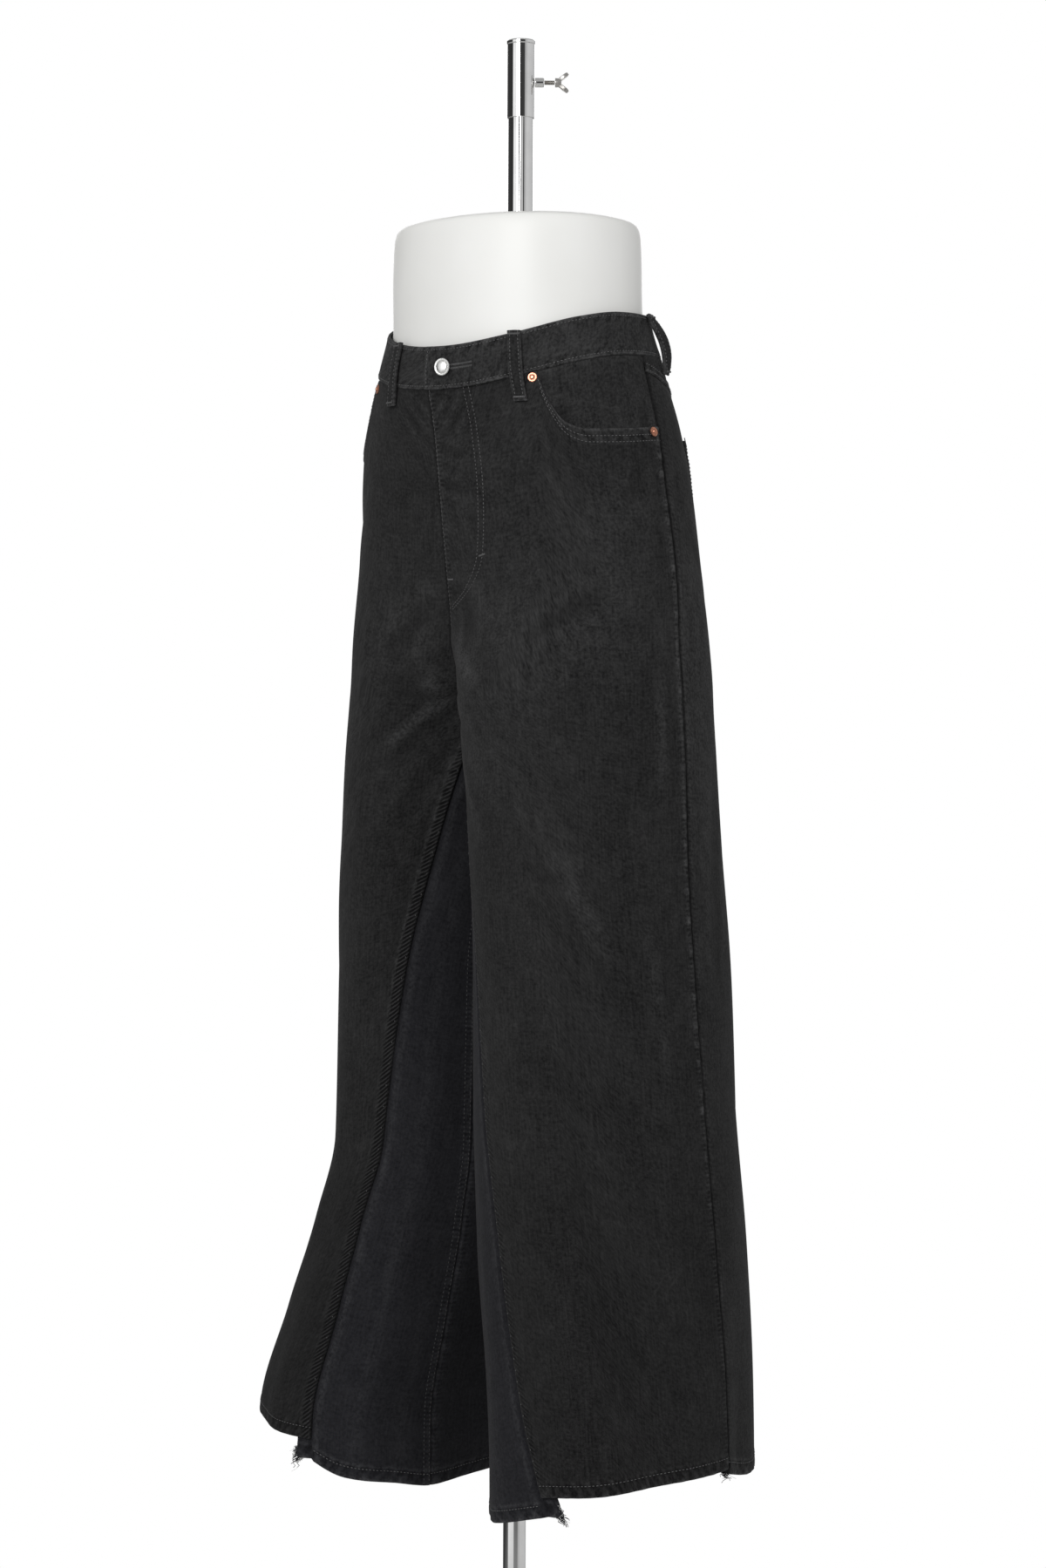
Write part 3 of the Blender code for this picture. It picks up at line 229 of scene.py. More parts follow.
# Rivets: name, side, distance from the outseam, height
RIVETS = (
    ("rivet_front_left", 1, 0.1378, 1.2520),
    ("rivet_side_left", 1, 0.0080, 1.2028),
    ("rivet_front_right", -1, 0.142, 1.2560),
    ("rivet_side_right", -1, 0.0080, 1.2028),
)

# Creases on the panels: panel, start (share of the width, height), end, half width, rise
CREASES = (
    ("front_left", 0.97, 1.060, 0.78, 1.000, 0.010, -0.0016),
    ("front_left", 0.93, 1.010, 0.62, 0.960, 0.012, 0.0014),
    ("front_left", 0.96, 0.985, 0.70, 0.905, 0.013, -0.0018),
    ("front_left", 0.90, 0.930, 0.78, 0.800, 0.012, 0.0009),
    ("front_left", 0.55, 1.010, 0.30, 1.055, 0.014, -0.0010),
    ("front_left", 0.50, 0.820, 0.35, 0.700, 0.016, 0.0012),
    ("front_left", 0.72, 0.760, 0.66, 0.560, 0.018, -0.0013),
    ("front_left", 0.20, 0.760, 0.14, 0.520, 0.014, 0.0012),
    ("front_left", 0.34, 0.640, 0.30, 0.420, 0.016, -0.0012),
    ("front_left", 0.07, 1.190, 0.22, 1.130, 0.009, -0.0011),
    ("front_left", 0.06, 0.980, 0.10, 0.860, 0.010, 0.0010),
    ("front_right", 0.97, 1.050, 0.76, 0.990, 0.010, -0.0016),
    ("front_right", 0.94, 0.985, 0.68, 0.900, 0.012, 0.0016),
    ("front_right", 0.95, 0.930, 0.80, 0.800, 0.012, -0.0014),
    ("front_right", 0.55, 0.860, 0.44, 0.690, 0.016, 0.0013),
    ("front_right", 0.35, 0.700, 0.30, 0.470, 0.015, -0.0013),
    ("front_right", 0.70, 0.560, 0.60, 0.400, 0.016, 0.0014),
    ("front_right", 0.50, 1.150, 0.30, 1.105, 0.012, -0.0011),
    ("back_left", 0.98, 1.030, 0.70, 0.985, 0.012, -0.0020),
    ("back_left", 0.94, 0.985, 0.62, 0.900, 0.014, 0.0020),
    ("back_left", 0.92, 0.930, 0.72, 0.810, 0.014, -0.0020),
    ("back_left", 0.10, 1.120, 0.30, 1.060, 0.012, -0.0013),
    ("back_left", 0.40, 0.800, 0.36, 0.560, 0.018, 0.0016),
    ("back_left", 0.20, 0.900, 0.16, 0.640, 0.014, -0.0015),
    ("back_right", 0.98, 1.030, 0.72, 0.980, 0.012, 0.0018),
    ("back_right", 0.95, 0.980, 0.60, 0.890, 0.014, -0.0020),
    ("back_right", 0.90, 0.920, 0.74, 0.800, 0.014, 0.0018),
    ("back_right", 0.42, 0.780, 0.36, 0.540, 0.018, -0.0016),
    ("back_right", 0.15, 1.100, 0.34, 1.050, 0.012, 0.0012),
)

# Places made paler (amount above 0) or darker (below 0): panel, middle (share of the width, height), half
# width, half height, amount. Two rows paint light and shade, as their comments say.
FADES_AND_PAINTED_SHADING = (
    ("front_left", 0.50, 1.000, 0.100, 0.120, 0.085),
    ("front_left", 0.62, 0.850, 0.060, 0.070, 0.015),
    ("front_left", 0.74, 0.890, 0.014, 0.040, 0.060),
    ("front_left", 0.50, 0.300, 0.400, 0.300, -0.200),
    # Painted shadow of the dimple at the crotch.
    ("front_left", 0.985, 1.003, 0.004, 0.014, -0.500),
    ("front_right", 0.50, 0.300, 0.400, 0.300, -0.440),
    # Painted light where the right leg's inner side turns away from the lamps near the crotch.
    ("front_right", 0.93, 0.930, 0.025, 0.070, 0.130),
    ("front_left", 0.30, 0.905, 0.045, 0.050, -0.060),
    ("front_left", 0.86, 1.165, 0.030, 0.060, 0.040),
    ("front_left", 0.30, 1.120, 0.060, 0.040, 0.035),
    ("front_left", 0.40, 0.620, 0.060, 0.080, 0.030),
    ("front_left", 0.60, 0.480, 0.060, 0.050, -0.050),
    ("front_right", 0.45, 1.000, 0.080, 0.110, 0.070),
    ("front_right", 0.35, 0.850, 0.050, 0.080, 0.040),
    ("front_right", 0.55, 0.620, 0.050, 0.070, 0.035),
    ("front_right", 0.60, 0.420, 0.050, 0.050, -0.040),
    ("back_left", 0.10, 0.960, 0.060, 0.160, 0.110),
    ("back_left", 0.50, 1.000, 0.090, 0.080, 0.090),
    ("back_left", 0.45, 0.720, 0.060, 0.110, 0.040),
    ("back_right", 0.50, 1.000, 0.090, 0.080, 0.090),
    ("back_right", 0.45, 0.720, 0.060, 0.110, 0.040),
)

# Thread
TICK_PITCH = 0.0045         # between the ticks that stitches pull along a seam
STITCH = 0.0023             # length of one stitch
STITCH_GAP = 0.0014         # between two stitches
THREAD = 0.00044            # radius of a thread
HEM_ROW = 0.0115            # from a hem's edge to its stitches
OPENING_ROWS = (0.0075, 0.0135)
POCKET_ROWS = (0.0020, 0.0080)
RISE_ROWS = (0.0020, 0.0085)
YOKE_ROWS = (0.0018, 0.0082)
FELL_ROWS = (0.0025, 0.0085)
BAND_ROW = 0.0035
SPECK = 0.0012              # length of the stitches that show as specks along a godet's seam
SPECK_ROW = (0.0026, 0.225, 0.925)      # from the seam, and the heights that it runs between

# The stand
FORM_COLUMNS = ("z", "half_width", "half_depth", "back")
FORM_RINGS = (
    (1.4120, 0.1175, 0.0950, -0.001),
    (1.4100, 0.1235, 0.1010, -0.001),
    (1.4050, 0.1265, 0.1040, -0.001),
    (1.3950, 0.1280, 0.1055, -0.001),
    (1.3600, 0.1288, 0.1070, -0.001),
    (1.3200, 0.1292, 0.1072, 0.000),
    (1.2800, 0.1365, 0.1085, 0.003),
    (1.2200, 0.1530, 0.1060, 0.010),
    (1.1500, 0.1610, 0.1035, 0.012),
    (1.0850, 0.1580, 0.0990, 0.015),
    (1.0480, 0.1400, 0.0850, 0.018),
    (1.0320, 0.1120, 0.0700, 0.018),
)
FORM_SQUARE = 2.15
FORM_BORE = 0.0130
FORM_SHIFT = -0.0035
FORM_SIDES = 144
FORM_TOP = FORM_RINGS[0][0] + 0.0012
POLE_RADIUS = 0.0110
TUBE_RADIUS = 0.0123
ROD_RADIUS = 0.0024
SLEEVE_RADIUS = 0.0134
SLEEVE_LIP = 0.0142
SLEEVE_LOW, SLEEVE_HIGH = 1.519, 1.595
LIP_HEIGHT = 0.0042
TUBE_LOW = 1.3000
CLAMP_Z = 1.554
CLAMP_YAW = math.radians(45)
BASE_RADIUS = 0.190
BASE_THICK = 0.008
COLLAR_RADIUS = 0.019
COLLAR_HEIGHT = 0.030
FIT_GAP = 0.0003
TUBE_HIGH = SLEEVE_LOW + 0.030
CLAMP_START = SLEEVE_RADIUS + FIT_GAP
BOSS_LONG = 0.0090
SCREW_LONG = 0.0100


# Cloths: key, name, dark, pale and worn colour (the worn colour also paints highlights), share of the fading
DENIMS = (
    ("denim", "washed black denim", (0.0030, 0.0030, 0.0032), (0.0292, 0.0290, 0.0292),
     (0.098, 0.098, 0.099), 1.0),
    ("insert", "blue black insert denim", (0.0030, 0.0030, 0.0044), (0.0245, 0.0245, 0.0280),
     (0.080, 0.080, 0.084), 0.75),
)
# Threads: key, name, colour, and the paler colour painted on its twist's high places as a highlight
THREADS = (
    ("thread", "dark grey thread", (0.055, 0.055, 0.056), (0.155, 0.155, 0.155)),
    ("fray", "white raw thread", (0.62, 0.62, 0.60), (0.85, 0.85, 0.83)),
)
# Metals: key, name, clean and dull colour, least and greatest roughness, patches a metre, depth of scratches
METALS = (
    ("copper", "aged copper", (0.70, 0.33, 0.22), (0.40, 0.17, 0.11), 0.28, 0.50, 700, 0.3),
    ("nickel", "brushed nickel", (0.95, 0.95, 0.93), (0.84, 0.84, 0.82), 0.34, 0.50, 500, 0.3),
    ("chrome", "polished chrome", (0.84, 0.84, 0.83), (0.78, 0.78, 0.77), 0.035, 0.09, 60, 0.05),
    ("steel", "plain steel", (0.56, 0.55, 0.53), (0.48, 0.46, 0.43), 0.34, 0.48, 90, 0.25),
)


# ---------------------------------------------------------------- curves and rings

class Curve:
    """A smooth curve through values at rising stations that never overshoots them."""

    def __init__(self, stations, values):
        stations, values = np.asarray(stations, float), np.asarray(values, float)
        if stations[0] > stations[-1]:
            stations, values = stations[::-1], values[::-1]
        step = np.diff(stations)
        slope = np.diff(values) / step
        tangent = np.zeros(len(values))
        tangent[0], tangent[-1] = slope[0], slope[-1]
        for i in range(1, len(values) - 1):
            if slope[i - 1] * slope[i] > 0:
                near, far = 2 * step[i] + step[i - 1], step[i] + 2 * step[i - 1]
                tangent[i] = (near + far) / (near / slope[i - 1] + far / slope[i])
        self.stations, self.values, self.step, self.tangent = stations, values, step, tangent

    def __call__(self, at):
        at = np.clip(at, self.stations[0], self.stations[-1])
        i = np.minimum(np.searchsorted(self.stations, at, side="right") - 1, len(self.step) - 1)
        t = (at - self.stations[i]) / self.step[i]
        return (
            (2 * t**3 - 3 * t**2 + 1) * self.values[i]
            + (t**3 - 2 * t**2 + t) * self.step[i] * self.tangent[i]
            + (3 * t**2 - 2 * t**3) * self.values[i + 1]
            + (t**3 - t**2) * self.step[i] * self.tangent[i + 1]
        )


def curves(table, columns):
    """One curve for each named column of a table, against its first."""
    return {
        name: Curve([row[0] for row in table], [row[k] for row in table])
        for k, name in enumerate(columns) if k
    }


HIP = curves(HIP_RINGS, HIP_COLUMNS)
LEG = {side: curves(table, LEG_COLUMNS) for side, table in LEG_RINGS.items()}
RISE = {front: curves(table, RISE_COLUMNS) for front, table in RISES.items()}
WAIST = curves(WAIST_TOPS, WAIST_COLUMNS)["height"]
HEM = {key: curves(table, HEM_COLUMNS)["height"] for key, table in PANEL_HEMS.items()}
GODET_HEM = {side: curves(table, HEM_COLUMNS)["height"] for side, table in GODET_HEMS.items()}
OPENING = curves(OPENING_EDGE, OPENING_COLUMNS)["height"]


def ease(t):
    t = np.clip(t, 0.0, 1.0)
    return t * t * (3 - 2 * t)


def mix(a, b, t):
    return a + (b - a) * t


def on_ring(middle_x, middle_y, half_x, half_y, square, side, degrees):
    """Points of superellipses at angles, from the side's outer end towards the front."""
    c, s = np.cos(np.radians(degrees)), np.sin(np.radians(degrees))
    power = 2 / square
    x = middle_x + side * half_x * np.sign(c) * np.abs(c) ** power
    y = middle_y - half_y * np.sign(s) * np.abs(s) ** power
    return np.stack(np.broadcast_arrays(x, y), axis=-1)


def hip_ring(z):
    right, left, near, back = (HIP[name](z) for name in ("right", "left", "front", "back"))
    return (right + left) / 2, (near + back) / 2, (left - right) / 2, (back - near) / 2, HIP["square"](z)


def hip_point(side, degrees, z):
    return on_ring(*hip_ring(z), side, degrees)


def leg_ring(side, z):
    ring = LEG[side]
    inner, outer, near, back = (ring[name](z) for name in ("inner", "outer", "front", "back"))
    middle = side * (inner + outer) / 2, (near + back) / 2
    return *middle, (outer - inner) / 2, (back - near) / 2, ring["square"](z)


def leg_point(side, degrees, z):
    """Points of a leg's rings, with the drape folds in them."""
    middle_x, middle_y, half_x, half_y, square = leg_ring(side, z)
    point = on_ring(middle_x, middle_y, half_x, half_y, square, side, degrees)
    outward = np.stack([(point[..., 0] - middle_x) / half_x**2,
                        (point[..., 1] - middle_y) / half_y**2], axis=-1)
    outward = outward / np.linalg.norm(outward, axis=-1, keepdims=True)
    rise = 0.0
    for of_side, start, angle_start, angle_hem, half_width, height in FOLDS:
        if of_side != side:
            continue
        along = (start - z) / (start - NOMINAL_HEM)
        away = (degrees - mix(angle_start, angle_hem, along) + 180) % 360 - 180
        rise = rise + height * ease(along) * np.exp(-((away / half_width) ** 2))
    return point + outward * np.asarray(rise)[..., None]


def rise_point(front, z):
    return np.stack([RISE[front]["x"](z), RISE[front]["y"](z)], axis=-1)


def inner_angle(side, front, z, rise):
    """The leg-ring angle of a panel's inner edge: the godet's seam, or the rise seam above the crotch."""
    below = LEG[side]["godet_front"](z) if front else LEG[side]["godet_back"](z) - 360
    _, middle, _, half, _ = leg_ring(side, z)
    tilt = np.degrees(np.arcsin(np.clip((middle - rise[..., 1]) / half, -1, 1)))
    return np.where(z <= CROTCH, below, 180 - tilt if front else -180 - tilt)


def angle_of_x(x, z, side, front):
    """The angle on a hip ring where the rise seam's x lies."""
    middle_x, _, half_x, _, square = hip_ring(z)
    share = side * (x - middle_x) / half_x
    degrees = np.degrees(np.arccos(np.clip(np.sign(share) * np.abs(share) ** (square / 2), -1, 1)))
    return degrees if front else -degrees


def waist_top(x, y):
    """Height of the waistband's upper edge, which climbs to the back and to the wearer's right."""
    return WAIST(y) + WAIST_TILT * ease((0.05 - x) / 0.19)


def waist_top_at(side, degrees):
    point = hip_point(side, degrees, WAIST_READ)
    return waist_top(point[..., 0], point[..., 1])


def waist_edge(side, front, u):
    """Height of the panels' and yokes' upper edge, just under the waistband."""
    edge = angle_of_x(RISE[front]["x"](WAIST_READ), WAIST_READ, side, front)
    return waist_top_at(side, mix(HIP["outseam"](WAIST_READ), edge, u)) - WAISTBAND_DEPTH - WAIST_GAP


def crotch_pull(side, z):
    """How far the leg's ring is drawn to the crotch point just below the crotch."""
    near = ease((z - CROTCH_FADE) / (CROTCH - CROTCH_FADE))
    at_crotch = leg_point(side, LEG[side]["godet_mid"](CROTCH), np.array(CROTCH))
    target = rise_point(True, CROTCH) + (side * CROTCH_APART, 0)
    return near[..., None] * (target - at_crotch)


def panel_base(side, front, u, z):
    """The master surface: u runs from the outseam (0) to the rise seam or the godet (1)."""
    u, z = np.broadcast_arrays(np.asarray(u, float), np.asarray(z, float))
    rise = rise_point(front, np.maximum(z, CROTCH))
    divided = ease((BLEND_TOP - z) / (BLEND_TOP - CROTCH))[..., None]
    hip_edge = angle_of_x(rise[..., 0], z, side, front)
    leg_edge = inner_angle(side, front, z, rise)
    hip = hip_point(side, mix(HIP["outseam"](z), hip_edge, u), z)
    leg = leg_point(side, mix(LEG[side]["outseam"](z), leg_edge, u), z)
    at_edge = mix(hip_point(side, hip_edge, z), leg_point(side, leg_edge, z), divided)
    pull = np.where((z > CROTCH)[..., None], rise - at_edge, crotch_pull(side, z))
    return mix(hip, leg, divided) + pull * (u**4)[..., None]


def godet_base(side, w, z):
    """The godet's surface: w is 0 at the front seam, 0.5 at the felled middle seam and 1 at the back seam."""
    first, middle, last = (LEG[side][name](z) for name in ("godet_front", "godet_mid", "godet_back"))
    degrees = np.where(w < 0.5, mix(first, middle, w * 2), mix(middle, last, w * 2 - 1))
    return leg_point(side, degrees, z) + crotch_pull(side, z)


def raised(flat, z):
    return np.concatenate([flat, np.broadcast_to(z, flat.shape[:-1])[..., None]], axis=-1)


def panel_points(side, front, u, z):
    u, z = np.broadcast_arrays(np.asarray(u, float), np.asarray(z, float))
    return raised(panel_base(side, front, u, z), z)


# ---------------------------------------------------------------- cloth grids

def run_length(points, axis):
    """Length along a grid's rows (axis 1) or columns (axis 0), from the first point."""
    step = np.linalg.norm(np.diff(points, axis=axis), axis=-1)
    start = np.zeros((1, points.shape[1]) if axis == 0 else (points.shape[0], 1))
    return np.concatenate([start, np.cumsum(step, axis=axis)], axis=axis)


class Layer:
    """A fine grid of cloth, rows going down: where it lies, how far it is raised, how worn it is and where
    light and shade are painted on it, and how thick it is.

    seam is above 0 where stitches pull ticks along the columns, and below 0 where they rope a hem's rows;
    both are painted as dark ticks of shade between paler worn ones.
    """

    def __init__(self, points, flip=False, thick=DENIM):
        self.base = np.asarray(points, float)
        normals = np.cross(np.gradient(self.base, axis=1), np.gradient(self.base, axis=0))
        self.normals = normals / np.linalg.norm(normals, axis=-1, keepdims=True) * (-1 if flip else 1)
        self.rise = np.zeros(self.base.shape[:2])
        self.wear_and_shading = np.zeros(self.base.shape[:2])
        self.thick = np.full(self.base.shape[:2], float(thick))
        self.seam = np.zeros(self.base.shape[:2])
        self.across = run_length(self.base, 1)
        self.down = run_length(self.base, 0)

    @property
    def across_back(self):
        return self.across[:, -1:] - self.across

    @property
    def down_back(self):
        return self.down[-1:] - self.down

    @property
    def outer(self):
        return self.base + self.normals * self.rise[..., None]

    def area(self):
        p = self.base
        crossed = np.cross(p[1:, 1:] - p[:-1, :-1], p[1:, :-1] - p[:-1, 1:])
        return float(0.5 * np.linalg.norm(crossed, axis=-1).sum())


def edge_fine(count, amount=0.75):
    """Shares from 0 to 1 that lie closer together at both ends."""
    t = np.linspace(0, 1, count)
    return mix(t, 0.5 - 0.5 * np.cos(math.pi * t), amount)


def puckers(along, seed, length=0.011):
    """An uneven row of puckers along a seam, from -1 to 1."""
    drift = 0.9 * np.sin(along / 0.071 + seed) + 0.6 * np.sin(along / 0.043 + 2.1 * seed)
    near = np.sin(2 * math.pi * along / length + drift + seed)
    far = np.sin(2 * math.pi * along / (1.61 * length) - 1.4 * drift + 1.7 * seed)
    return (0.6 * near + 0.4 * far) * (0.72 + 0.28 * np.sin(along / 0.093 + 0.7 * seed))


def wander(across, down, seed):
    """Slow unevenness of worn cloth, from -1 to 1."""
    return (
        0.40 * np.sin(across / 0.046 + 1.3 * seed + 0.8 * np.sin(down / 0.12 + seed))
        + 0.35 * np.sin(down / 0.075 + 2.2 * seed + 1.1 * np.sin(across / 0.07 - seed))
        + 0.25 * np.sin((across + 0.6 * down) / 0.027 + 0.5 * seed)
    )


def falloff(distance, width):
    """A soft bump, 1 at no distance."""
    return np.exp(-((distance / width) ** 2))


def lip(distance, width, power=2):
    """1 at an edge, falling to 0 at a width from it."""
    return np.clip(1 - distance / width, 0, 1) ** power


def spread_out(values, reach):
    """The mean over a square of neighbours."""
    for axis in (0, 1):
        first, last = values.take([0], axis), values.take([-1], axis)
        padded = np.concatenate([np.repeat(first, reach, axis), values, np.repeat(last, reach, axis)], axis)
        total = np.cumsum(np.concatenate([first * 0, padded], axis), axis)
        count, wide = values.shape[axis], 2 * reach + 1
        values = (total.take(range(wide, wide + count), axis) - total.take(range(count), axis)) / wide
    return values


def rub_and_shade(layer, strength=1.0):
    """Pales what stands up as washing wears it, and darkens what lies low: partly the dye that washing leaves
    there, partly painted shade in the hollows.
    """
    raised_by = layer.rise - spread_out(layer.rise, 4)
    layer.wear_and_shading += np.clip(strength * 190 * raised_by, -0.28, 0.14)


def lay_creases(layer, name, width_share, z):
    """Raises or lowers a panel along the creases listed for it, pales the raised ones as worn and paints
    shade into the lowered ones, and makes its listed places paler or darker, two of them with painted light
    and shade.
    """
    width = layer.across[:, -1:]
    for panel, u0, z0, u1, z1, half_width, rise in CREASES:
        if panel != name:
            continue
        wide, tall = (u1 - u0) * width, z1 - z0
        along = ((width_share - u0) * width * wide + (z - z0) * tall) / (wide**2 + tall**2)
        t = np.clip(along, 0, 1)
        away = np.hypot((width_share - mix(u0, u1, t)) * width, z - mix(z0, z1, t))
        fade = np.sin(math.pi * t) ** 0.7
        layer.rise += 1.3 * rise * fade * falloff(away, half_width)
        # Raised creases are paled as worn; lowered creases get painted shade.
        layer.wear_and_shading += 20 * rise * fade * falloff(away, half_width * 0.8)
    for panel, u0, z0, half_wide, half_tall, amount in FADES_AND_PAINTED_SHADING:
        if panel == name:
            beside = (width_share - u0) * width
            layer.wear_and_shading += amount * falloff(beside, half_wide) * falloff(z - z0, half_tall)


def lay_hem(layer, seed, depth=HEM_DEPTH):
    """The turned hem: thicker, roped by its stitches, worn at its edge, and darkened with painted shade in
    its stitch row's groove and between its ropes.
    """
    up = layer.down_back
    inside = ease((depth + 0.0012 - up) / 0.0016)
    roping = puckers(layer.across + 0.7 * up, seed, 0.0125)
    layer.thick += HEM_FOLD * inside
    layer.rise += inside * (0.00035 + 0.00055 * roping * ease((depth - up) / 0.004))
    layer.seam -= 0.22 * ease((depth + 0.002 - up) / 0.003)
    layer.rise -= 0.0005 * falloff(up - 0.0115, 0.0012)
    layer.rise += 0.0003 * puckers(layer.across, seed + 2, 0.013) * falloff(up - depth, 0.006)
    layer.rise -= 0.0012 * lip(up, 0.0018)
    layer.wear_and_shading += 0.45 * falloff(up, 0.0022) * (0.7 + 0.3 * roping)
    layer.wear_and_shading += 0.16 * falloff(up - depth, 0.0016)
    # Painted shade in the groove of the stitch row.
    layer.wear_and_shading -= 0.20 * falloff(up - 0.0105, 0.0018)
    # The roping pales its ridges as worn and paints shade between them.
    layer.wear_and_shading += 0.12 * inside * roping


def front_width(side):
    """Length of the front panel along the cloth at pocket height."""
    line = panel_points(side, True, np.linspace(0, 1, 40), 1.235)
    return float(np.linalg.norm(np.diff(line, axis=0), axis=1).sum())


def opening_height(distance, top):
    """Height of the pocket opening's edge at a distance from the outseam."""
    return np.minimum(OPENING(distance / OPENING_WIDTH), top)


def grid_rows(top_u, top_z, flat_u, hem, counts):
    """Rows from a panel's upper edge, level from TOP_ZONE down, and fine again above the hem."""
    first, middle, last = counts
    s = (np.linspace(0, 1, first) ** 1.35)[:, None]
    u = mix(top_u, flat_u, ease(s))
    z = mix(top_z, TOP_ZONE, s)
    low = hem + HEM_ZONE
    r = np.linspace(0, 1, middle + 1)[1:, None]
    q = np.linspace(0, 1, last + 1)[1:, None]
    z = np.concatenate([z, mix(TOP_ZONE, low, r), mix(low, hem, q)])
    u = np.concatenate([u, np.broadcast_to(flat_u, (middle + last, len(flat_u)))])
    return u, z


def pull_in_edges(points):
    """Leaves the seam's gap at both side edges."""
    for edge, beside in ((0, 1), (-1, -2)):
        step = points[:, beside] - points[:, edge]
        points[:, edge] += SEAM_GAP * step / np.linalg.norm(step, axis=-1, keepdims=True)
    return points


def front_panel(side):
    width = front_width(side)
    open_u = OPENING_WIDTH / width
    opening_points = 70
    distance = OPENING_WIDTH * (1 - (1 - np.linspace(0, 1, opening_points)) ** 1.6)
    line_u = np.append(distance / width, np.linspace(open_u, 1, 50)[1:])
    line_z = waist_edge(side, True, line_u)
    line_z[:opening_points] = opening_height(distance, line_z[:opening_points])
    arc = np.append(0, np.cumsum(np.hypot(np.diff(line_u) * width, np.diff(line_z))))
    flat_u = edge_fine(88)
    opening_share = arc[opening_points - 1] / arc[-1]
    corner = int(np.argmin(np.abs(flat_u - opening_share)))
    stations = flat_u.copy()
    stations[corner] = opening_share
    top_u, top_z = (np.interp(stations * arc[-1], arc, line) for line in (line_u, line_z))
    u, z = grid_rows(top_u, top_z, flat_u, HEM[side, True](flat_u), (46, 226, 22))
    layer = Layer(pull_in_edges(panel_points(side, True, u, z)), flip=side < 0)
    layer.u, layer.z, layer.corner = u, z, corner
    away, inner, top = layer.across, layer.across_back, layer.down
    seed = 1.0 if side > 0 else 4.2
    layer.rise += 0.0007 * wander(layer.across, layer.z, seed)
    lay_creases(layer, f"front_{SIDE_NAME[side]}", u, z)

    seam = puckers(z, seed, 0.0145)
    layer.rise += SEAM_RIDGE * lip(away, 0.013, 0.6)
    layer.rise += 0.00055 * seam * falloff(away - 0.004, 0.007)
    layer.rise -= 0.0016 * lip(away, 0.0022)
    layer.wear_and_shading += (0.10 + 0.40 * np.clip(seam, 0, 1)) * falloff(away - 0.0042, 0.0028)
    # Painted shade in the groove along the outseam.
    layer.wear_and_shading -= 0.75 * falloff(away, 0.0018)
    layer.seam += 0.30 * falloff(away - 0.0045, 0.0030)

    ladder = puckers(z, seed + 1.3, 0.0105 if side < 0 else 0.013)
    below = ease((BELOW_GODET_TOP - z) / 0.03)
    depth = 0.00070 if side < 0 else 0.00040
    layer.rise += depth * ladder * below * falloff(inner - 0.007, 0.007)
    layer.rise += 0.0006 * below * lip(inner, 0.011, 0.6)
    layer.rise -= 0.0015 * below * lip(inner, 0.002)
    layer.seam += below * (1.15 if side < 0 else 0.30) * falloff(inner - 0.0048, 0.0042)
    layer.wear_and_shading += below * ((0.20 if side < 0 else 0.10) * falloff(inner - 0.0112, 0.0018)
                           + (0.22 if side > 0 else 0.0) * falloff(inner, 0.0016))

    above = ease((z - ABOVE_CROTCH) / 0.03)
    if side > 0:
        layer.rise += FLY_LIFT * above * lip(inner, 0.047, 0.5)
        wavy = puckers(z + 0.25 * inner, 2.7, 0.0175)
        finer = puckers(z - 0.6 * inner, 6.4, 0.0098)
        layer.rise += 0.0004 * above * (wavy + finer) * falloff(inner - 0.018, 0.014) * (
            0.35 + 0.65 * ease((z - 1.10) / 0.06))
        # Painted highlights on the fly's puckers and painted shade between them.
        layer.wear_and_shading += 0.035 * above * (wavy + 1.2 * finer) * falloff(inner - 0.014, 0.012)
        layer.seam += 0.36 * above * falloff(inner - 0.0040, 0.0030)
        layer.rise -= 0.0011 * above * lip(inner, 0.0020)
        layer.wear_and_shading += 0.16 * above * falloff(inner - 0.0008, 0.0018)
        for line in (0.0385, 0.0440):
            layer.rise -= 0.0003 * ease((z - 1.09) / 0.02) * falloff(inner - line, 0.0014)
    else:
        layer.rise -= 0.0012 * above * lip(inner, 0.0025)
        # Painted shade where this panel's edge runs under the fly.
        layer.wear_and_shading -= 0.55 * above * falloff(inner, 0.0022)
    layer.rise += 0.0010 * ease((z - 1.175) / 0.05) * falloff(inner - 0.020, 0.022) * puckers(
        layer.across + 0.5 * z, 5.1, 0.021)

    edge = np.zeros(u.shape)
    edge[:, : corner + 1] = 1
    edge[:, corner + 1 : corner + 4] = (0.6, 0.3, 0.1)
    rolled = edge * ease((1.249 - z) / 0.02 + 1)
    layer.rise += rolled * (0.0009 * lip(top, 0.017, 0.5))
    layer.rise += rolled * 0.0005 * puckers(layer.across, seed + 3, 0.011) * falloff(top - 0.009, 0.006)
    layer.rise -= rolled * 0.0014 * lip(top, 0.0020)
    layer.wear_and_shading += rolled * (0.24 * falloff(top - 0.0012, 0.0016) + 0.07 * falloff(top - 0.008, 0.007))
    layer.seam -= rolled * 0.26 * falloff(top - 0.0100, 0.0040)
    layer.rise += (1 - edge) * 0.0005 * puckers(layer.across, seed + 6, 0.012) * falloff(top - 0.004, 0.009)
    # Painted shadow of the waistband's lower edge.
    layer.wear_and_shading -= (1 - edge) * 0.35 * falloff(top, 0.0020)
    lay_hem(layer, seed)
    rub_and_shade(layer)
    return layer


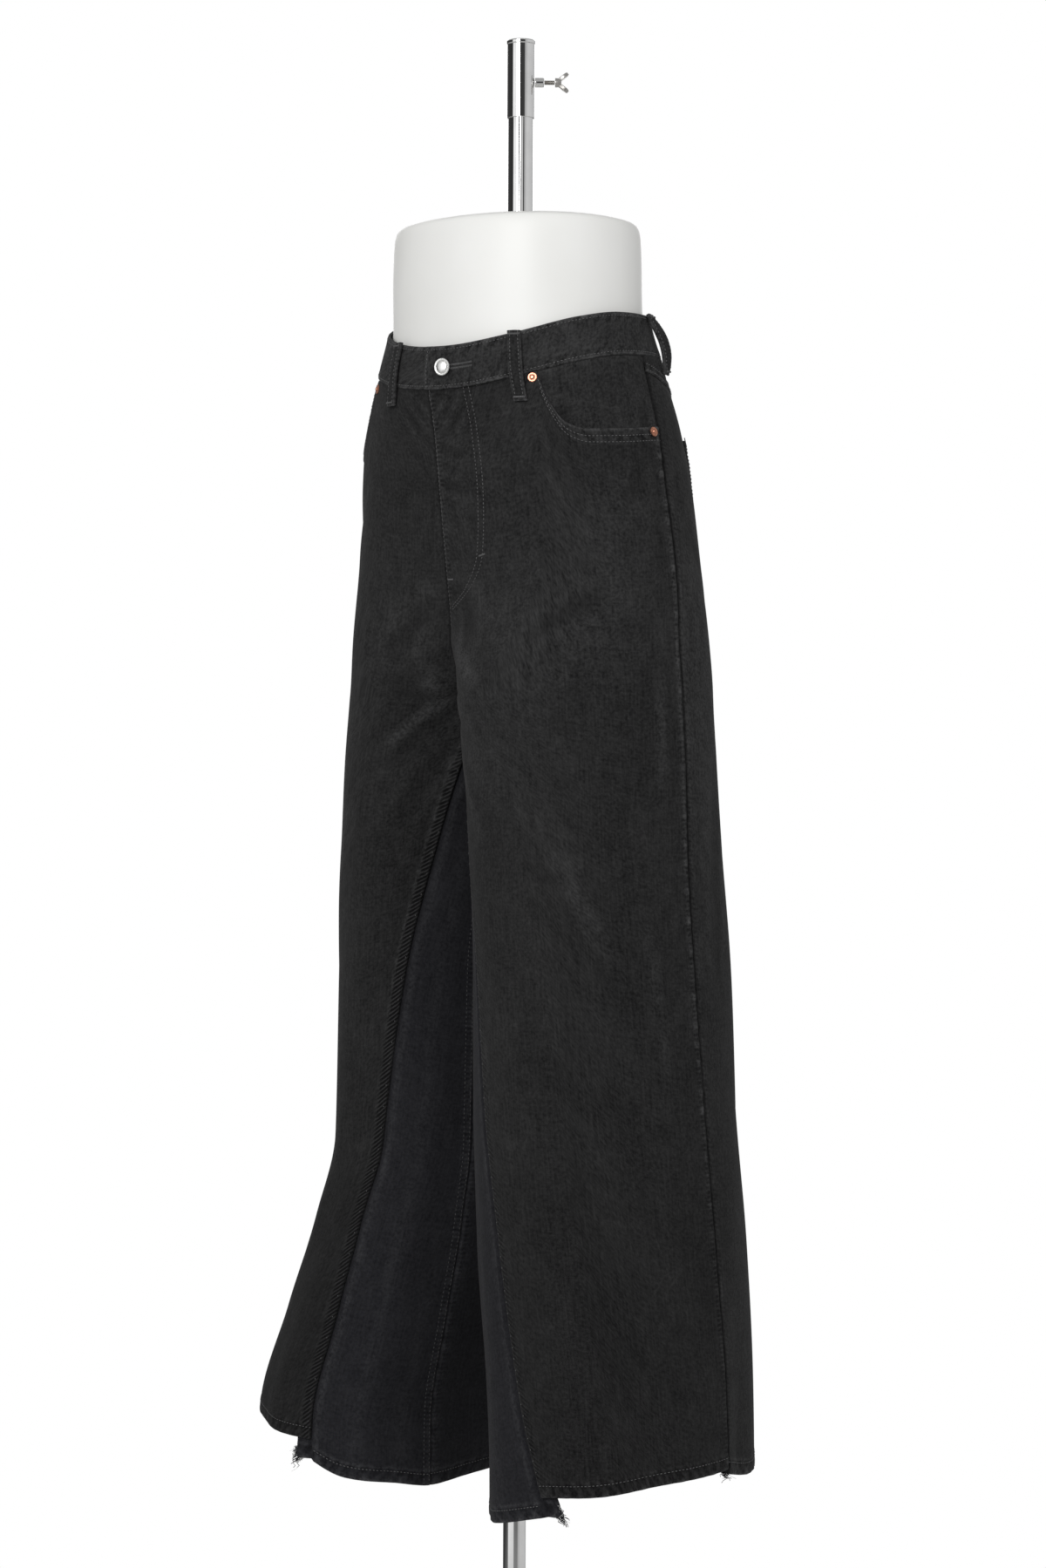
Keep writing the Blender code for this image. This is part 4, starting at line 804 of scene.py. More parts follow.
def back_panel(side):
    flat_u = edge_fine(64)
    top_z = waist_edge(side, False, flat_u) - mix(YOKE_SIDE, YOKE_MIDDLE, flat_u) - SEAM_GAP
    u, z = grid_rows(flat_u, top_z, flat_u, HEM[side, False](flat_u), (26, 180, 20))
    layer = Layer(pull_in_edges(panel_points(side, False, u, z)), flip=side > 0)
    layer.u, layer.z = u, z
    away, inner, top = layer.across, layer.across_back, layer.down
    seed = 2.3 if side > 0 else 6.1
    layer.rise += 0.0009 * wander(layer.across, layer.z, seed)
    lay_creases(layer, f"back_{SIDE_NAME[side]}", u, z)
    seam = puckers(z, seed - 1.1, 0.0145)
    layer.rise += 0.00030 * seam * falloff(away - 0.004, 0.006)
    layer.rise -= 0.0014 * lip(away, 0.002)
    # Painted shade in the groove along the outseam.
    layer.wear_and_shading -= 0.60 * falloff(away, 0.0020)
    layer.seam += 0.17 * falloff(away - 0.0040, 0.0030)
    below = ease((BELOW_GODET_TOP - z) / 0.03)
    ladder = puckers(z, seed + 1.3, 0.012)
    layer.rise += below * (0.00055 * ladder * falloff(inner - 0.007, 0.007)
                           + 0.0006 * lip(inner, 0.011, 0.6)
                           - 0.0015 * lip(inner, 0.002))
    layer.seam += below * 0.46 * falloff(inner - 0.0030, 0.0026)
    layer.wear_and_shading += below * 0.22 * falloff(inner - 0.0078, 0.0016)
    above = ease((z - 0.975) / 0.02)
    layer.rise += above * (0.0007 * (side > 0) * lip(inner, 0.011, 0.5)
                           + 0.0004 * puckers(z, 3.9, 0.013) * falloff(inner - 0.007, 0.008)
                           - 0.0013 * lip(inner, 0.002))
    layer.wear_and_shading += 0.20 * above * falloff(inner - 0.001, 0.003)
    layer.rise -= 0.0013 * lip(top, 0.002)
    layer.rise += 0.0004 * puckers(layer.across, seed + 4, 0.013) * falloff(top - 0.006, 0.007)
    # Painted shade along the seam under the yoke.
    layer.wear_and_shading -= 0.50 * falloff(top, 0.0018)
    lay_hem(layer, seed)
    rub_and_shade(layer)
    return layer


def allowance_at(z):
    """Width of a godet's raw allowance, which grows towards the hem."""
    return mix(ALLOWANCE_AT_TOP, ALLOWANCE_AT_HEM, ease((GODET_TOP - z) / (GODET_TOP - NOMINAL_HEM)))


def godet(side, front):
    """Half of a godet, from the raw allowance under its panel to the felled middle seam."""
    inner_shares = edge_fine(36)
    reach_steps = np.linspace(1, 0.02, 8)
    w = 0.5 * inner_shares if front else 1 - 0.5 * inner_shares
    hem = GODET_HEM[side](w)
    r = np.linspace(0, 1, 176)[:, None]
    q = np.linspace(0, 1, 21)[1:, None]
    z = np.concatenate([mix(GODET_TOP, hem + HEM_ZONE, r), mix(hem + HEM_ZONE, hem, q)])
    w_grid = np.broadcast_to(w, z.shape)
    own = raised(godet_base(side, w_grid, z), z)
    z_edge = z[:, :1]
    last_tenth = run_length(panel_points(side, front, np.linspace(0.9, 1, 8), z_edge), 1)[:, -1:]
    distance = allowance_at(z_edge) * reach_steps
    u_under = 1 - 0.1 * distance / last_tenth
    under = panel_points(side, front, u_under, z_edge)
    toward = np.gradient(under, axis=1)
    down = np.gradient(under, axis=0)
    inward = np.cross(toward, down)
    inward /= np.linalg.norm(inward, axis=-1, keepdims=True)
    middle = np.stack([*leg_ring(side, z_edge[:, 0])[:2]], axis=-1)
    wrong = ((under[..., :2] - middle[:, None]) * inward[..., :2]).sum(axis=-1) > 0
    inward[wrong] *= -1
    dip = DENIM + ALLOWANCE_GAP + HEM_FOLD * ease((0.40 - z_edge) / 0.12)
    under += inward * dip[..., None]
    beside = np.linalg.norm(own - own[:, :1], axis=-1)
    keep = int(np.argmax(np.median(beside, axis=0) > SHOULDER * 0.6))
    blend = ease(beside / SHOULDER)[..., None]
    shift = (under[:, -1:] - own[:, :1]) * (1 - blend)
    own = own + shift
    points = np.concatenate([under, own[:, max(keep, 1):]], axis=1)
    if not front:
        points = points[:, ::-1]
    layer = Layer(points, flip=side < 0)
    across = layer.across if front else layer.across_back
    middle_away = layer.across_back if front else layer.across
    layer.z = points[..., 2]
    layer.under = len(reach_steps)
    seed = (3.1 if side > 0 else 5.3) + (0 if front else 1.9)
    layer.rise += 0.0006 * wander(layer.across, layer.z, seed) * ease(across / 0.03)
    fell = lip(middle_away, 0.011, 0.5)
    layer.rise += (0.0010 if front == (side < 0) else 0.0002) * fell
    layer.rise += 0.00045 * puckers(layer.z, seed, 0.015) * falloff(middle_away - 0.006, 0.007)
    layer.rise -= 0.0011 * lip(middle_away, 0.0018)
    layer.wear_and_shading += 0.16 * falloff(middle_away - 0.001, 0.0022) * (0.6 + 0.4 * puckers(layer.z, seed, 0.015))
    layer.seam += 0.24 * falloff(middle_away - 0.0050, 0.0040)
    shown = across - allowance_at(layer.z)
    # Painted shade where the godet comes out from under the panel's edge.
    layer.wear_and_shading -= 0.35 * falloff(shown - 0.0010, 0.0030)
    layer.wear_and_shading += 0.14 * falloff(shown - 0.0080, 0.0035)
    for start, width, amount in ((0.030, 0.006, 0.06), (0.052, 0.004, -0.06), (0.075, 0.008, 0.05)):
        layer.wear_and_shading += amount * falloff(across - start - 0.05 * (GODET_TOP - layer.z), width)
    lay_hem(layer, seed)
    rub_and_shade(layer)
    return layer


def yoke(side):
    shares = edge_fine(60)
    rows = np.linspace(0, 1, 26)[:, None]
    z = waist_edge(side, False, shares) - rows * mix(YOKE_SIDE, YOKE_MIDDLE, shares)
    points = pull_in_edges(panel_points(side, False, shares, z))
    layer = Layer(points, flip=side > 0)
    seed = 1.9 if side > 0 else 7.3
    layer.z = points[..., 2]
    up, inner, away = layer.down_back, layer.across_back, layer.across
    layer.rise += 0.0005 * wander(layer.across, layer.z, seed)
    layer.rise += 0.0009 * lip(up, 0.011, 0.5)
    layer.rise += 0.0004 * puckers(layer.across, seed, 0.013) * falloff(up - 0.006, 0.006)
    layer.rise -= 0.0012 * lip(up, 0.0016)
    layer.wear_and_shading += 0.30 * falloff(up, 0.0022)
    layer.seam -= 0.22 * falloff(up - 0.0050, 0.0040)
    layer.rise += 0.0007 * (side > 0) * lip(inner, 0.011, 0.5)
    layer.rise -= 0.0012 * lip(np.minimum(inner, away), 0.002)
    rub_and_shade(layer)
    return layer


def facing(side):
    """The cloth that shows in the pocket's opening, under the front panel."""
    u = np.linspace(0, 0.80, 64)
    rows = np.linspace(0, 1, 34)[:, None]
    z = mix(waist_edge(side, True, u), 1.172, rows)
    layer = Layer(panel_points(side, True, u, z), flip=side < 0)
    layer.z = layer.base[..., 2]
    depth = (DENIM + LAYER_GAP) * (1 if side > 0 else 2)
    layer.rise -= depth
    layer.rise += 0.0004 * wander(layer.across, layer.z, 2.9)
    layer.rise -= 0.0022 * falloff(layer.across - 0.016, 0.006) * ease((1.240 - layer.z) / 0.03)
    slanting = layer.across - 0.10 + 0.5 * (layer.z - 1.22)
    layer.rise -= 0.0010 * falloff(slanting, 0.012) * ease((1.236 - layer.z) / 0.02)
    layer.wear_and_shading += 0.05 + 0.10 * falloff(layer.down, 0.004)
    rub_and_shade(layer)
    return layer


def share_at_x(side, front, x, z):
    """The share of a panel's width where it has a given x, found by halving."""
    x, z = np.broadcast_arrays(x, z)
    low, high = np.zeros(x.shape), np.ones(x.shape)
    for _ in range(22):
        middle = (low + high) / 2
        beyond = side * panel_base(side, front, middle, z)[..., 0] > side * x
        low, high = np.where(beyond, middle, low), np.where(beyond, high, middle)
    return (low + high) / 2


def coin_pocket():
    x = mix(COIN_POCKET_X[0], COIN_POCKET_X[1], np.linspace(0, 1, 30))
    z = mix(COIN_POCKET_TOP, 1.180, np.linspace(0, 1, 24)[:, None])
    x, z = np.broadcast_arrays(x, z)
    layer = Layer(panel_points(-1, True, share_at_x(-1, True, x, z), z), flip=True)
    layer.z = layer.base[..., 2]
    layer.rise -= DENIM + LAYER_GAP
    layer.wear_and_shading += 0.5 * falloff(layer.down, 0.0025)
    return layer


def back_pocket(side):
    """A five-sided patch that lies on the back panel: its points are the panel's, moved out."""
    sizes = BACK_POCKET
    near, far, top = sizes["middle_gap"], sizes["middle_gap"] + sizes["width"], sizes["top"]
    c = edge_fine(54, 0.6)
    r = edge_fine(60, 0.6)[:, None]
    left_x, right_x = mix(near, near + 0.004, r), mix(far, far - 0.010, r)
    x = side * mix(left_x, right_x, c)
    top_z = mix(top + 0.004, top - 0.004, c)
    bottom_z = top - sizes["side_drop"] - (sizes["point_drop"] - sizes["side_drop"]) * (1 - np.abs(2 * c - 1))
    z = mix(top_z, bottom_z, r)
    x, z = np.broadcast_arrays(x, z)
    layer = Layer(panel_points(side, False, share_at_x(side, False, x, z), z), flip=side < 0)
    layer.z = layer.base[..., 2]
    seed = 8.1 if side > 0 else 3.4
    rim = np.minimum(np.minimum(layer.across, layer.across_back), np.minimum(layer.down, layer.down_back))
    layer.rise += POCKET_LIFT + DENIM + 0.0009 * wander(layer.across, layer.z, seed) * ease(rim / 0.02)
    layer.rise += 0.0010 * np.sin(math.pi * np.clip(layer.across / layer.across[:, -1:], 0, 1)) * ease(
        1 - layer.down / 0.05)
    layer.rise -= 0.0008 * lip(rim, 0.0015)
    layer.rise += 0.0003 * puckers(layer.across + layer.down, seed, 0.013) * falloff(rim - 0.004, 0.005)
    layer.wear_and_shading += 0.40 * falloff(rim, 0.0022) + 0.12 * falloff(layer.down, 0.012)
    rub_and_shade(layer)
    return layer


def band_lift(turned_by):
    """How far the band stands out where its left end laps over its right end."""
    return (BAND_THICK + LAYER_GAP) * (1 - ease((turned_by - BAND_LAP - 4) / 22))


def waistband():
    turned_by = (360 + BAND_LAP) * np.linspace(0, 1, 420)
    degrees = -BAND_START - turned_by
    share = edge_fine(26, 0.6)[:, None]
    z = waist_top_at(1, degrees) - share * (WAISTBAND_DEPTH + BAND_REACH)
    degrees = np.broadcast_to(degrees, z.shape)
    layer = Layer(raised(hip_point(1, degrees, z), z), flip=True, thick=BAND_THICK)
    layer.z = z
    layer.degrees = degrees
    up, low, start, end = layer.down, layer.down_back, layer.across, layer.across_back
    layer.rise += band_lift(np.broadcast_to(turned_by, z.shape))
    layer.rise += 0.0005 * wander(layer.across, layer.z, 0.7)
    for rim, seed in ((up, 1.2), (low, 4.8)):
        layer.rise += 0.00035 * puckers(layer.across, seed, 0.012) * falloff(rim - 0.006, 0.005)
        layer.rise -= 0.0004 * falloff(rim - 0.0035, 0.0010)
        layer.rise -= 0.0010 * lip(rim, 0.0016)
        layer.wear_and_shading += (0.24 + 0.2 * puckers(layer.across, seed, 0.012)) * falloff(rim - 0.0008, 0.0018)
        layer.seam -= 0.28 * falloff(rim - 0.0050, 0.0040)
    for rim in (start, end):
        layer.rise -= 0.0009 * lip(rim, 0.0018)
    layer.wear_and_shading += 0.11 + 0.25 * falloff(start, 0.003)
    rub_and_shade(layer)
    return layer


def cloth_beside(side, degrees, z):
    """Points on the hips by angle and height, with their outward normals and the direction across."""
    def at(angle, height):
        return raised(hip_point(side, angle, height), height)

    point = at(degrees, z)
    across = at(degrees + 1, z) - at(degrees - 1, z)
    normal = np.cross(across, at(degrees, z - 0.004) - at(degrees, z + 0.004))
    normal /= np.linalg.norm(normal, axis=-1, keepdims=True)
    middle = np.stack([*hip_ring(z)[:2], z], axis=-1)
    normal *= np.sign((normal * (point - middle)).sum(axis=-1, keepdims=True))
    return point, normal, across * (1 if side > 0 else -1) / np.linalg.norm(across, axis=-1, keepdims=True)


def belt_loop(row):
    """A folded strip that stands off the band in its middle, doubled under at its head and foot."""
    _, side, degrees, bow, lean, twist, below = row
    top = float(waist_top_at(side, degrees)) + LOOP_ABOVE
    foot = top - LOOP_ABOVE - WAISTBAND_DEPTH - below
    turned_by = -BAND_START - degrees if side > 0 else 360.0
    t = np.linspace(0, 1, 56)
    base, normal, across = cloth_beside(side, np.full(t.shape, float(degrees)), mix(top, foot, t))
    bowed = np.sin(math.pi * t) ** 0.8
    turn = np.radians(twist) * bowed
    away = bow * bowed + LOOP_THICK + LOOP_GAP + band_lift(turned_by)
    away = away + 0.0009 * falloff((t - 1) * (top - foot), 0.007) + 0.0006 * falloff(t * (top - foot), 0.006)
    shares = edge_fine(13, 0.5) - 0.5
    width = LOOP_WIDTH * (1 + 0.03 * np.sin(9 * t + degrees))
    side_shift = shares[None, :] * (width * np.cos(turn))[:, None] + lean * (t * side)[:, None]
    out_shift = away[:, None] - shares[None, :] * (width * np.sin(turn))[:, None]
    points = base[:, None] + across[:, None] * side_shift[..., None] + normal[:, None] * out_shift[..., None]
    layer = Layer(points, thick=LOOP_THICK)
    if (layer.normals * normal[:, None]).sum() < 0:
        layer.normals *= -1
    layer.z = points[..., 2]
    rim = np.minimum(layer.across, layer.across_back)
    layer.rise += 0.0004 * ease(rim / 0.002) + 0.0003 * falloff(layer.across - LOOP_WIDTH / 2, 0.002)
    layer.rise -= 0.0007 * lip(rim, 0.0012)
    layer.rise += 0.00025 * puckers(layer.down, degrees, 0.009) * falloff(rim - 0.003, 0.002)
    layer.wear_and_shading += 0.30 * falloff(rim, 0.0014) + 0.25 * falloff(layer.down_back, 0.002)
    layer.wear_and_shading += 0.25 * falloff(layer.down, 0.003)
    rub_and_shade(layer, 0.6)
    return layer


# ---------------------------------------------------------------- meshes

def mesh_object(name, vertices, faces, material, attributes=None, sharp=50):
    mesh = bpy.data.meshes.new(name)
    mesh.from_pydata(np.asarray(vertices, float).tolist(), [], [list(map(int, f)) for f in faces])
    for key, values in (attributes or {}).items():
        values = np.asarray(values, np.float32)
        kind = "FLOAT_VECTOR" if values.ndim == 2 else "FLOAT"
        data = mesh.attributes.new(key, kind, "POINT")
        data.data.foreach_set("vector" if values.ndim == 2 else "value", values.reshape(-1))
    mesh.shade_smooth()
    mesh.set_sharp_from_angle(angle=math.radians(sharp))
    if material:
        mesh.materials.append(material)
    mesh.validate()
    made = bpy.data.objects.new(name, mesh)
    bpy.context.scene.collection.objects.link(made)
    return made


def facing_out(vertices, faces):
    """The same faces, turned round if the closed mesh would be inside out."""
    vertices = np.asarray(vertices, float)
    triangles = np.array([(f[0], f[i], f[i + 1]) for f in faces for i in range(1, len(f) - 1)])
    volume = np.einsum("ij,ij->i", vertices[triangles[:, 0]],
                       np.cross(vertices[triangles[:, 1]], vertices[triangles[:, 2]])).sum()
    return faces if volume > 0 else [tuple(reversed(f)) for f in faces]


def cloth_object(name, layer, material):
    """A closed thin shell between a layer's raised points and the same points moved in by its thickness."""
    rows, cols = layer.rise.shape
    outer = layer.outer
    inner = outer - layer.normals * layer.thick[..., None]
    index = np.arange(rows * cols).reshape(rows, cols)
    a, b, c, d = index[:-1, :-1], index[1:, :-1], index[1:, 1:], index[:-1, 1:]
    front = np.stack([a, b, c, d], axis=-1).reshape(-1, 4)
    back = front[:, ::-1] + rows * cols
    rim = np.concatenate([index[:, 0], index[-1, 1:], index[::-1, -1][1:], index[0, ::-1][1:-1]])
    after = np.roll(rim, -1)
    sides = np.stack([rim, rim + rows * cols, after + rows * cols, after], axis=-1)
    faces = np.concatenate([front, back, sides])
    vertices = np.concatenate([outer.reshape(-1, 3), inner.reshape(-1, 3)])
    cloth = np.stack([layer.across, layer.down, np.clip(layer.seam, -1, 1)], axis=-1).reshape(-1, 3)
    wear_and_shading = np.clip(layer.wear_and_shading, -1, 1).reshape(-1)
    tri = vertices[faces[:, :3]]
    volume = np.einsum("ij,ij->i", tri[:, 0], np.cross(tri[:, 1], tri[:, 2])).sum()
    tri = vertices[faces[:, [0, 2, 3]]]
    volume += np.einsum("ij,ij->i", tri[:, 0], np.cross(tri[:, 1], tri[:, 2])).sum()
    if volume < 0:
        faces = faces[:, ::-1]
    return mesh_object(name, vertices, faces, material, {
        "cloth": np.concatenate([cloth, cloth]),
        "wear_and_shading": np.concatenate([wear_and_shading, wear_and_shading * 0]),
    })


def as_piece(made, nodes=()):
    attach(made, "root")
    if nodes:
        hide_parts(*nodes)
    return made


# ---------------------------------------------------------------- stitches

class Thread:
    """Gathers stitches and loose ends, and becomes one mesh."""

    def __init__(self):
        self.vertices, self.faces, self.count = [], [], 0

    def tube(self, points, radii, up, sides=4):
        """A closed tube through points, pointed where a radius is near nothing."""
        points = np.asarray(points, float)
        along = np.gradient(points, axis=0)
        along /= np.linalg.norm(along, axis=-1, keepdims=True)
        beside = np.cross(along, up)
        beside /= np.linalg.norm(beside, axis=-1, keepdims=True)
        over = np.cross(beside, along)
        for k, (point, radius) in enumerate(zip(points, radii)):
            for s in range(sides):
                angle = 2 * math.pi * (s + 0.5) / sides
                outward = beside[k] * math.cos(angle) + over[k] * math.sin(angle)
                self.vertices.append(point + radius * outward)
        first = self.count
        for k in range(len(points) - 1):
            for s in range(sides):
                a, b = first + k * sides + s, first + k * sides + (s + 1) % sides
                self.faces.append((a, b, b + sides, a + sides))
        last = first + (len(points) - 1) * sides
        self.faces.append(tuple(first + s for s in reversed(range(sides))))
        self.faces.append(tuple(last + s for s in range(sides)))
        self.count += len(points) * sides

    def stitch(self, start, end, normal, radius=THREAD):
        """One stitch, sunk at both ends."""
        t = np.array([0.0, 0.30, 0.70, 1.0])[:, None]
        sink = np.array([-0.7, 0.55, 0.55, -0.7])[:, None]
        points = start + (end - start) * t + normal * radius * sink
        self.tube(points, radius * np.array([0.45, 1.0, 1.0, 0.45]), normal)

    def run(self, points, normals, stitch=STITCH, gap=STITCH_GAP, radius=THREAD, skip=()):
        """A row of stitches along a line on the cloth."""
        points, normals = np.asarray(points, float), np.asarray(normals, float)
        arc = np.append(0, np.cumsum(np.linalg.norm(np.diff(points, axis=0), axis=1)))
        at = 0.0005
        while at + stitch < arc[-1]:
            if not any(low < at < high for low, high in skip):
                start, end, normal = (
                    np.array([np.interp(where, arc, line[:, k]) for k in range(3)])
                    for where, line in ((at, points), (at + stitch, points), (at + stitch / 2, normals))
                )
                self.stitch(start, end, normal / np.linalg.norm(normal), radius)
            at += stitch + gap

    def bartack(self, middle, along, normal, length=0.0110, width=0.0018, count=15):
        """A bar of close stitches across a line."""
        along = along / np.linalg.norm(along)
        half = np.cross(normal, along) * width / 2 + along * 0.0004
        for k in range(count):
            at = middle + along * length * (k / (count - 1) - 0.5)
            self.stitch(at - half, at + half, normal, THREAD * 0.95)

    def rows(self, layer, edge, distances, low=None, high=None, **how):
        """Rows of stitches at distances from a layer's edge."""
        for distance in distances:
            self.run(*line_along(layer, edge, distance, low, high), **how)

    def made(self, name, material):
        return mesh_object(name, self.vertices, self.faces, material, sharp=60)


def line_along(layer, edge, distance, low=None, high=None):
    """The line at a distance from a layer's edge, as points and normals on its raised face."""
    outer, normals = layer.outer, layer.normals
    lengths = {"start": layer.across, "end": layer.across_back, "top": layer.down, "hem": layer.down_back}
    length = lengths[edge]
    if edge in ("top", "hem"):
        outer, normals, length = (np.swapaxes(a, 0, 1) for a in (outer, normals, length))
    points, directions = [], []
    for line, normal, run in zip(outer, normals, length):
        if run.max() < distance:
            continue
        order = np.argsort(run)
        points.append([np.interp(distance, run[order], line[order, k]) for k in range(3)])
        directions.append([np.interp(distance, run[order], normal[order, k]) for k in range(3)])
    points, directions = np.array(points), np.array(directions)
    if low is not None:
        kept = (points[:, 2] > low) & (points[:, 2] < high)
        points, directions = points[kept], directions[kept]
    return points, directions


def on_cloth(layer, targets, columns=None):
    """Points near given ones on a layer's raised face, or on its first columns alone, and their normals."""
    base, normals = (points[:, :columns].reshape(-1, 3) for points in (layer.base, layer.normals))
    rise = layer.rise[:, :columns].reshape(-1)
    found, directions = [], []
    for target in np.asarray(targets, float):
        away = np.linalg.norm(base - target, axis=1)
        near = np.argpartition(away, 4)[:4]
        weight = 1 / (away[near] + 1e-5)
        weight /= weight.sum()
        normal = (normals[near] * weight[:, None]).sum(axis=0)
        normal /= np.linalg.norm(normal)
        found.append(target + normal * (rise[near] * weight).sum())
        directions.append(normal)
    return np.array(found), np.array(directions)


def smooth_path(stations, count=60):
    """A smooth line through a few stations in the plane."""
    stations = np.asarray(stations, float)
    arc = np.append(0, np.cumsum(np.linalg.norm(np.diff(stations, axis=0), axis=1)))
    t = np.linspace(0, arc[-1], count)
    return np.stack([Curve(arc, stations[:, 0])(t), Curve(arc, stations[:, 1])(t)], axis=-1)


# ---------------------------------------------------------------- materials

def linked(tree, value, socket):
    """Links an output to a socket, or sets the socket's own value."""
    if isinstance(value, bpy.types.NodeSocket):
        tree.links.new(value, socket)
    else:
        socket.default_value = value


def calculated(tree, operation, first, second=0.0, clamp=False):
    made = tree.nodes.new("ShaderNodeMath")
    made.operation = operation
    made.use_clamp = clamp
    linked(tree, first, made.inputs[0])
    linked(tree, second, made.inputs[1])
    return made.outputs[0]


def weighed(tree, first, first_share, second, second_share):
    """Two values, each times its share, added."""
    return calculated(tree, "ADD", calculated(tree, "MULTIPLY", first, first_share),
                      calculated(tree, "MULTIPLY", second, second_share))


def blended(tree, factor, first, second):
    made = tree.nodes.new("ShaderNodeMix")
    made.data_type = "RGBA"
    linked(tree, factor, made.inputs[0])
    linked(tree, first, made.inputs[6])
    linked(tree, second, made.inputs[7])
    return made.outputs[2]


def rescaled(tree, value, from_low, from_high, to_low=0.0, to_high=1.0):
    made = tree.nodes.new("ShaderNodeMapRange")
    for socket, number in zip(made.inputs[1:5], (from_low, from_high, to_low, to_high)):
        socket.default_value = number
    linked(tree, value, made.inputs[0])
    return made.outputs[0]


def stretched_noise(tree, vector, stretch, detail=2.0, roughness=0.5):
    """Noise over a vector that is scaled by three numbers first."""
    scale = tree.nodes.new("ShaderNodeVectorMath")
    scale.operation = "MULTIPLY"
    linked(tree, vector, scale.inputs[0])
    scale.inputs[1].default_value = stretch
    made = tree.nodes.new("ShaderNodeTexNoise")
    made.inputs["Scale"].default_value = 1.0
    made.inputs["Detail"].default_value = detail
    made.inputs["Roughness"].default_value = roughness
    tree.links.new(scale.outputs[0], made.inputs["Vector"])
    return made.outputs["Fac"]


def new_group(name, inputs, outputs):
    group = bpy.data.node_groups.new(name, "ShaderNodeTree")
    for socket, kind, value in inputs:
        made = group.interface.new_socket(name=socket, in_out="INPUT", socket_type=kind)
        if value is not None:
            made.default_value = value
    for socket, kind in outputs:
        group.interface.new_socket(name=socket, in_out="OUTPUT", socket_type=kind)
    return group, group.nodes.new("NodeGroupInput"), group.nodes.new("NodeGroupOutput")


def placed(tree, group, **values):
    """Puts a group into a material; the values are given by socket name, with _ for a space."""
    made = tree.nodes.new("ShaderNodeGroup")
    made.node_tree = group
    for key, value in values.items():
        linked(tree, value, made.inputs[key.replace("_", " ")])
    return made


def fine_lines(tree, across, down, numbers):
    """Thin bent lines, as a sharp crease leaves them in washed cloth."""
    wide, lean, tall, tilt = numbers
    joined = tree.nodes.new("ShaderNodeCombineXYZ")
    linked(tree, weighed(tree, across, wide, down, lean), joined.inputs[0])
    linked(tree, weighed(tree, down, tall, across, tilt), joined.inputs[1])
    field = stretched_noise(tree, joined.outputs[0], (1, 1, 1), 1.5, 0.5)
    away = calculated(tree, "ABSOLUTE", calculated(tree, "SUBTRACT", field, 0.5))
    return rescaled(tree, away, 0.0, 0.016, 1.0, 0.0)


